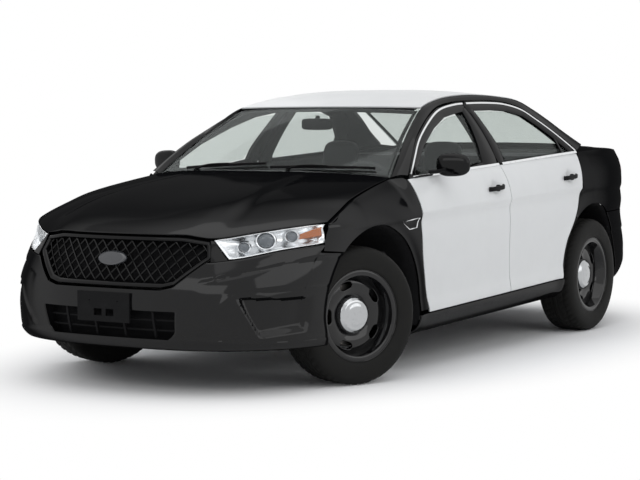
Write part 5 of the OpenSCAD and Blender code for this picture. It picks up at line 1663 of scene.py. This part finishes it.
@dataclass
class RoadWheels:
    """Tyres with treads and wheels with slotted discs, set at their places with the parked steering angle."""
    track_half: float = 830.0
    front_y: float = -1558.0
    rear_y: float = 1287.0
    kingpin: float = 790.0
    height: float = 363.0
    steer: float = -22.0
    slots: int = 5

    def matrix(self, side: Side, front: bool) -> Array:
        """Places a wheel made about the origin with its outer face to +X."""
        m = np.eye(4)
        m[:3, 3] = [side.value * self.track_half, self.front_y if front else self.rear_y, self.height]
        if side is Side.RIGHT:
            m[:3, :3] = np.diag([-1, -1, 1])
        if front:
            a, pivot = math.radians(self.steer), np.array([side.value * self.kingpin, self.front_y, 0])
            r = np.array([[math.cos(a), -math.sin(a), 0], [math.sin(a), math.cos(a), 0], [0, 0, 1]])
            m[:3, 3] = r @ (m[:3, 3] - pivot) + pivot
            m[:3, :3] = r @ m[:3, :3]
        return m

    @staticmethod
    def tyre() -> Array:
        """Tyre: a rounded profile swept round, with four grooves and slots cut into tread and shoulders."""
        side = through([(97, 211), (98, 240), (112, 243), (119, 262), (122.5, 300), (119, 330), (110, 347),
                        (96, 357), (84, 361)], 16)
        tread = np.array([(x, 363 - 0.0002 * x * x) for x in np.linspace(78, -78, 33)])
        profile = np.concatenate([side, tread, side[::-1] * [-1, 1]])
        a = circle(260)[:, None]
        x, r = profile[None, :, 0], profile[None, :, 1]
        on_top = ease((r - 350) / 8)
        groove = sum(np.exp(-((x - g) / 4.5) ** 4) for g in (-54, -18, 18, 54))
        sipe = ease((np.sin(a * 52 + x / 11) - 0.55) / 0.2) * ease((np.abs(x) - 24) / 8)
        rib = 1.1 * np.exp(-((r - 262) / 3) ** 2) + 0.9 * np.exp(-((r - 318) / 2.5) ** 2)
        rr = r - on_top * np.minimum(8, 8 * groove + 5 * sipe)
        xx = x + np.sign(x) * rib
        return points(xx + 0 * a, rr * np.cos(a), rr * np.sin(a))

    def disc(self) -> list[Array]:
        """Disc: two polar grids whose shared edge opens into rounded slots.

        The slot's half height over its half turn w is h times the cube root of 1 - (turn / w) cubed.
        """
        a = circle(220)
        pitch = 2 * np.pi / self.slots
        off = np.abs((a + math.radians(36) + pitch / 2) % pitch - pitch / 2) / 0.235
        h = 20 * np.maximum(0, 1 - off ** 3) ** (1 / 3)
        depth = [(60, 28), (92, 32), (104, 38), (120, 46), (142, 51), (163, 52), (184, 47), (204, 40),
                 (214, 40)]
        grids = []
        for low, high in ((np.full_like(a, 88), 163 - h), (163 + h, np.full_like(a, 211))):
            r = mix(low[:, None], high[:, None], np.linspace(0, 1, 9)[None])
            wave = np.cos(a * self.slots + 0.6)[:, None] * np.exp(-((r - 128) / 26) ** 2)
            x = hermite(r, *table(depth)) + 2.2 * wave
            grids.append(points(x, r * np.cos(a)[:, None], r * np.sin(a)[:, None]))
        return grids

    def one(self, side: Side, front: bool) -> None:
        """Makes one tyre, wheel, cap and brake disc."""
        end = "front" if front else "rear"
        body, m = f"wheel_{end}_{side.word}", self.matrix(side, front)
        Piece(f"tyre_{end}_{side.word}_skin", body).add(self.tyre(), True, True).place(m).make(
            TYRE, closed=True, sharp=50, replaces=[f"tyre_{end}_{side.word}"])
        disc = Piece(f"disc_{end}_{side.word}", body)
        for g in self.disc():
            disc.add(g, close_u=True, away=(-600, 0, 0))
        disc.place(m).make(WHEEL, wall=7, replaces=[body])
        rim = np.array([(104, 210), (108, 214), (108, 238), (105, 241), (99, 240), (93, 213), (-92, 212),
                        (-98, 240), (-106, 241), (-108, 236), (-106, 208), (-60, 197), (52, 197),
                        (60, 204)], float)
        edge = np.array([(107.4, 236.6), (109.6, 238.4), (109.2, 240.6), (106.6, 241.2), (105, 239)], float)
        cap = through([(30, 97.5), (50, 97), (58, 93), (64, 84), (69, 76), (71, 62), (75, 48), (76.4, 30),
                       (77, 8)], 20)
        cap = np.concatenate([[[30, 90]], cap, [[77, 0.0]]])
        brake = np.array([(-26, 60), (-26, 162), (-22, 165), (-17, 165), (-16, 150), (-10, 150), (-9, 165),
                          (-3, 165), (0, 162), (0, 100), (18, 84), (30, 78), (30, 34), (-30, 34),
                          (-30, 60)], float)
        for part, profile, count, sharp, finish in (
                ("rim", rim, 120, 50, WHEEL), ("rim_edge", edge, 120, 35, WHEEL),
                ("cap", cap, 72, 35, CAP_CHROME), ("brake", brake, 72, 35, DISC)):
            ring = Piece(f"{part}_{end}_{side.word}", body).add(turned(profile, count), True, part != "cap")
            ring.place(m).make(finish, closed=True, sharp=sharp, replaces=[body])

    def build(self) -> None:
        """Makes all four wheels."""
        for side in Side:
            for front in (True, False):
                self.one(side, front)


@dataclass
class Cabin:
    """Padded seats, the dashboard and the inside mirror."""
    seat_x: float = 370.0
    front_tilt: float = -16.0
    rear_tilt: float = -12.0

    @staticmethod
    def pad(size: Sequence[float], channels: Sequence[float], crown: float = 0.16, power: float = 5.0,
            across: float = 0.0) -> Array:
        """Crowned pad about the origin: a superellipsoid whose faces swell, with sewn channels pressed in.

        Args:
            size: Width, depth and height.
            channels: Places of the lengthways seams, as shares of the half width.
            crown: Swell of the broad faces as a share of the depth.
            power: Squareness of the corners.
            across: Depth of one crossing seam.

        Returns:
            Grid of points, closed along its columns.
        """
        x, y, z = ball(29, 52, 2 / power)
        swell = 1 - crown * (x * x + z * z) / 2
        seam = sum(np.exp(-((x - c) / 0.022) ** 2) for c in channels) * ease((0.92 - np.abs(z)) / 0.1)
        cross = np.exp(-((z - 0.25) / 0.02) ** 2) * ease((0.8 - np.abs(x)) / 0.1) * across
        waist = 1 - 0.035 * (1 - z * z) * np.abs(x)
        return points(x * size[0] / 2 * waist, y * size[1] / 2 * (swell - 0.10 * seam - cross),
                      z * size[2] / 2)

    @staticmethod
    def tilted(grid: Array, pivot: Sequence[float], offset: Sequence[float], degrees: float) -> Array:
        """Turns a grid about an axle along X through a pivot, after an offset from it."""
        a = math.radians(degrees)
        r = np.array([[1, 0, 0], [0, math.cos(a), -math.sin(a)], [0, math.sin(a), math.cos(a)]])
        return (grid + offset) @ r.T + pivot

    def soft(self, name: str, grids: Sequence[Array], node: str, fill: float) -> None:
        """Makes one padded piece."""
        piece = Piece(name)
        for g in grids:
            piece.add(g, close_v=True)
        obj = piece.make(CLOTH, closed=True, sharp=60, subdivide=1, replaces=[node])

    def seats(self) -> None:
        """Front seats with head restraints, and the rear bench."""
        flat = np.array([[1, 0, 0], [0, 0, 1], [0, -1, 0]], float)
        for side in Side:
            x = side.value * self.seat_x
            base = self.pad((512, 128, 496), (-0.56, 0.56, 0.0), 0.2) @ flat.T
            self.soft(f"front_cushion_{side.word}", [base + [x, -160, 400]], "front_seats", 0.8)
            back = self.pad((486, 118, 644), (-0.56, 0.56), 0.2, 5, 0.05)
            self.soft(f"front_back_{side.word}", [self.tilted(back, (x, 80, 430), (0, 60, 325),
                                                              self.front_tilt)],
                      "front_seats", 0.8)
            head = self.pad((256, 92, 208), (), 0.25, 3.6)
            self.soft(f"front_head_{side.word}", [self.tilted(head, (x, 268, 1030), (0, 3, 108), -14)],
                      "front_seats", 0.9)
        bench = self.pad((1250, 126, 462), (-0.66, -0.33, 0.0, 0.33, 0.66), 0.15, 7) @ flat.T
        self.soft("rear_cushion", [bench + [0, 705, 468]], "rear_seat", 0.8)
        back = self.pad((1216, 92, 562), (-0.66, -0.33, 0.0, 0.33, 0.66), 0.15, 7)
        back = self.tilted(back, (0, 862, 500), (0, 48, 286), self.rear_tilt)
        self.soft("rear_back", [back], "rear_seat", 0.8)
        rods = Piece("seat_frames")
        a = round_outline(1, 1, 5)
        for side in Side:
            x = side.value * self.seat_x
            for dx in (-70.0, 70.0):
                line = points(x + dx, np.linspace(262, 284, 6), np.linspace(1030, 1105, 6))
                rods.rod(line, a * 11, (1, 0, 0))
            z = np.linspace(247, 345, 6)
            rods.column(a, x, -160, 440, 400, z)
        rods.make(TRIM, closed=True, replaces=["front_seats"])

    def dashboard(self) -> None:
        """Dashboard: a section carried across the cabin, hooded over the gauges, and the console below it."""
        x = np.linspace(-698, 698, 120)
        d = 40 * ease((430 - np.abs(x)) / 60)
        hood = 16 * np.exp(-((x - 370) / 150) ** 4)
        o = np.zeros_like(x)
        section = [(o - 1038, o + 1036), (o - 900, 1044 + d / 4), (o - 800, 1036 + d / 4 + hood),
                   (-725 + d, 1008 + hood), (-690 + d, 960 + o), (-672 + d, 905 + o), (-735 + d, 702 + o),
                   (o - 900, o + 623), (o - 1038, o + 623), (o - 1039, o + 830)]
        ring = np.stack([points(x, y, z) for y, z in section], 1)
        dash = Piece("dashboard_skin").add(capped(ring), close_v=True)
        a = round_outline(1, 1, 7, 40)
        for (cx, cy), (width, length), (z0, z1) in (
                ((0, -500), (198, 756), (249, 494)), ((0, -745), (298, 226), (482, 708)),
                ((0, -160), (188, 476), (442, 558))):
            z = np.concatenate([[z0], np.linspace(z0 + 5, z1 - 8, 10), [z1 - 2, z1]])
            k = np.concatenate([[0.97], np.ones(10), [0.975, 0.93]])
            dash.column(a, cx, cy, width * k, length * k, z)
        dash.make(VINYL, closed=True, sharp=55, replaces=["dashboard"])

    def inside_mirror(self) -> None:
        """Rounded mirror on a short stem at the top of the windscreen."""
        glass = Piece("inside_mirror").add(self.pad((214, 38, 68), (), 0.1, 4.5) + [0, -566, 1350],
                                                   close_v=True)
        stem = through([(0, -566, 1368), (0, -558, 1392), (0, -556, 1398)], 8)
        glass.rod(stem, round_outline(22, 22, 6, 8), (1, 0, 0))
        glass.make(TRIM, closed=True, replaces=["screens"])

    def build(self) -> None:
        """Makes the cabin's pieces."""
        self.inside_mirror()
        self.seats()
        self.dashboard()


# ---- Stage ----

@dataclass
class Stage:
    """Pale floor, soft lamps, white surroundings and the camera."""
    camera_place: tuple[float, float, float] = (5.9246, -9.9138, 1.4209)
    camera_target: tuple[float, float, float] = (-0.081, -0.198, 0.656)
    camera_roll: float = -0.13
    lens: float = 105.4
    shift: tuple[float, float] = (-0.0289, -0.0038)
    floor_half: float = 60.0
    seen_rays: tuple[str, ...] = ("Is Camera Ray", "Is Transmission Ray", "Is Glossy Ray")
    lamps: tuple[tuple[Any, ...], ...] = (
        ("key_top", (1.5, -1.5, 7.0), (0, 0, 0.5), (7.0, 10.0), 168),
        ("side_wash", (8.0, -1.0, 4.0), (0, 0, 0.6), (9.0, 4.0), 130),
        ("front_wash", (1.0, -10.0, 4.5), (0, -2.0, 0.5), (8.0, 3.0), 110),
        ("far_wash", (-7.0, 3.0, 5.0), (0, 0, 0.6), (8.0, 4.0), 90))

    def world(self) -> None:
        """White where it is seen, softer where it lights."""
        world = bpy.data.worlds.new("surroundings")
        world.use_nodes = True
        nodes, links = world.node_tree.nodes, world.node_tree.links
        nodes.clear()
        out, shade = nodes.new("ShaderNodeOutputWorld"), nodes.new("ShaderNodeBackground")
        path, pick = nodes.new("ShaderNodeLightPath"), nodes.new("ShaderNodeMix")
        pick.data_type = "RGBA"
        pick.inputs[6].default_value, pick.inputs[7].default_value = (0.5, 0.51, 0.53, 1), (1, 1, 1, 1)
        seen = path.outputs[self.seen_rays[0]]
        for ray in self.seen_rays[1:]:
            larger = nodes.new("ShaderNodeMath")
            larger.operation = "MAXIMUM"
            links.new(seen, larger.inputs[0])
            links.new(path.outputs[ray], larger.inputs[1])
            seen = larger.outputs[0]
        links.new(seen, pick.inputs[0])
        links.new(pick.outputs[2], shade.inputs["Color"])
        links.new(shade.outputs[0], out.inputs["Surface"])
        bpy.context.scene.world = world

    def floor(self) -> None:
        """Floor that keeps the shadow near the object and turns white further off."""
        h = self.floor_half * 1000
        u, v = net_of(np.linspace(-h, h, 3), np.linspace(-h, h, 3))
        mesh = bpy.data.meshes.new("floor")
        mesh.from_pydata((points(u, v, 0).reshape(-1, 3) * MM).tolist(), [],
                         grid_faces(3, 3, False, False).tolist())
        obj = bpy.data.objects.new("floor", mesh)
        bpy.context.scene.collection.objects.link(obj)
        s = Shader("pale_floor")
        grain = s.noise(3, 3)
        x, y = s.axis("X") / 1.9, s.axis("Y") / 3.4
        far = ((x * x + y * y) ** 0.5).over(0.6, 1.02)
        pale = s.surface(Base_Color=s.blend(grain * 0.2, (0.97, 0.97, 0.97), (0.95, 0.95, 0.95)),
                         Roughness=0.9,
                         Specular_IOR_Level=0.1)
        glow = s.node("ShaderNodeEmission", None, {"Color": (1, 1, 1, 1), "Strength": 1.0})
        camera, through_glass, mirrored = (s.node("ShaderNodeLightPath", out=ray) for ray in self.seen_rays)
        seen = camera.most(through_glass).most(mirrored)
        mesh.materials.append(s.close(s.node("ShaderNodeMixShader", None, {0: far * seen, 1: pale, 2: glow})))

    def lamp(self, name: str, place: Colour, target: Colour, size: tuple[float, float], power: float) -> None:
        """One soft area lamp."""
        data = bpy.data.lights.new(name, "AREA")
        data.shape, data.energy = "RECTANGLE", power
        data.size, data.size_y = size
        obj = bpy.data.objects.new(name, data)
        bpy.context.scene.collection.objects.link(obj)
        obj.location = place
        obj.rotation_euler = _look(np.array(target) - np.array(place))

    def camera(self) -> None:
        """The main camera."""
        data = bpy.data.cameras.new("main_camera")
        data.lens, data.sensor_width = self.lens, 36.0
        data.shift_x, data.shift_y = self.shift
        data.clip_end = 400.0
        obj = bpy.data.objects.new("main_camera", data)
        bpy.context.scene.collection.objects.link(obj)
        way = np.array(self.camera_target) - np.array(self.camera_place)
        turn = _look(way).to_matrix() @ Matrix.Rotation(math.radians(self.camera_roll), 3, "Z")
        obj.location, obj.rotation_euler = self.camera_place, turn.to_euler()
        bpy.context.scene.camera = obj

    def build(self) -> None:
        """Sets the stage."""
        bpy.context.scene.view_settings.view_transform = "Standard"
        self.world()
        self.floor()
        for entry in self.lamps:
            self.lamp(*entry)
        self.camera()


def _look(way: Array) -> Any:
    """Rotation that points -Z along a direction with Y up."""
    return Vector(way.tolist()).to_track_quat("-Z", "Y").to_euler()


def dress_kept_nodes() -> None:
    """Gives the frame's own nodes that stay their finishes."""
    kept = {"floor_pan": "floor_pan", "engine_block": "engine_block", "front_subframe": "chassis",
            "rear_suspension": "chassis", "knuckle_left": "chassis", "knuckle_right": "chassis",
            "exhaust": "exhaust", "radiator": "radiator"}
    finishes = {n: KEPT[k] for n, k in kept.items()}
    finishes.update(fuel_tank=TRIM, cowl=TRIM, rear_shelf=CLOTH, plate_bracket=TRIM, steering_wheel=VINYL)
    for name, finish in finishes.items():
        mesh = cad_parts[name].data
        mesh.materials.clear()
        mesh.materials.append(finish.material())
        LOG.info("%s keeps its shape as %s", name, finish.name)


def main() -> None:
    """Builds the sub-assemblies in order."""
    logging.basicConfig(level=logging.INFO, format="%(name)s: %(message)s")
    dress_kept_nodes()
    for assembly in (BodyShell, Fenders, FrontEnd, RearEnd, Screens, Doors, RoadWheels, Cabin, Stage):
        assembly().build()
    bpy.context.view_layer.update()


if __name__ == "__main__":
    main()
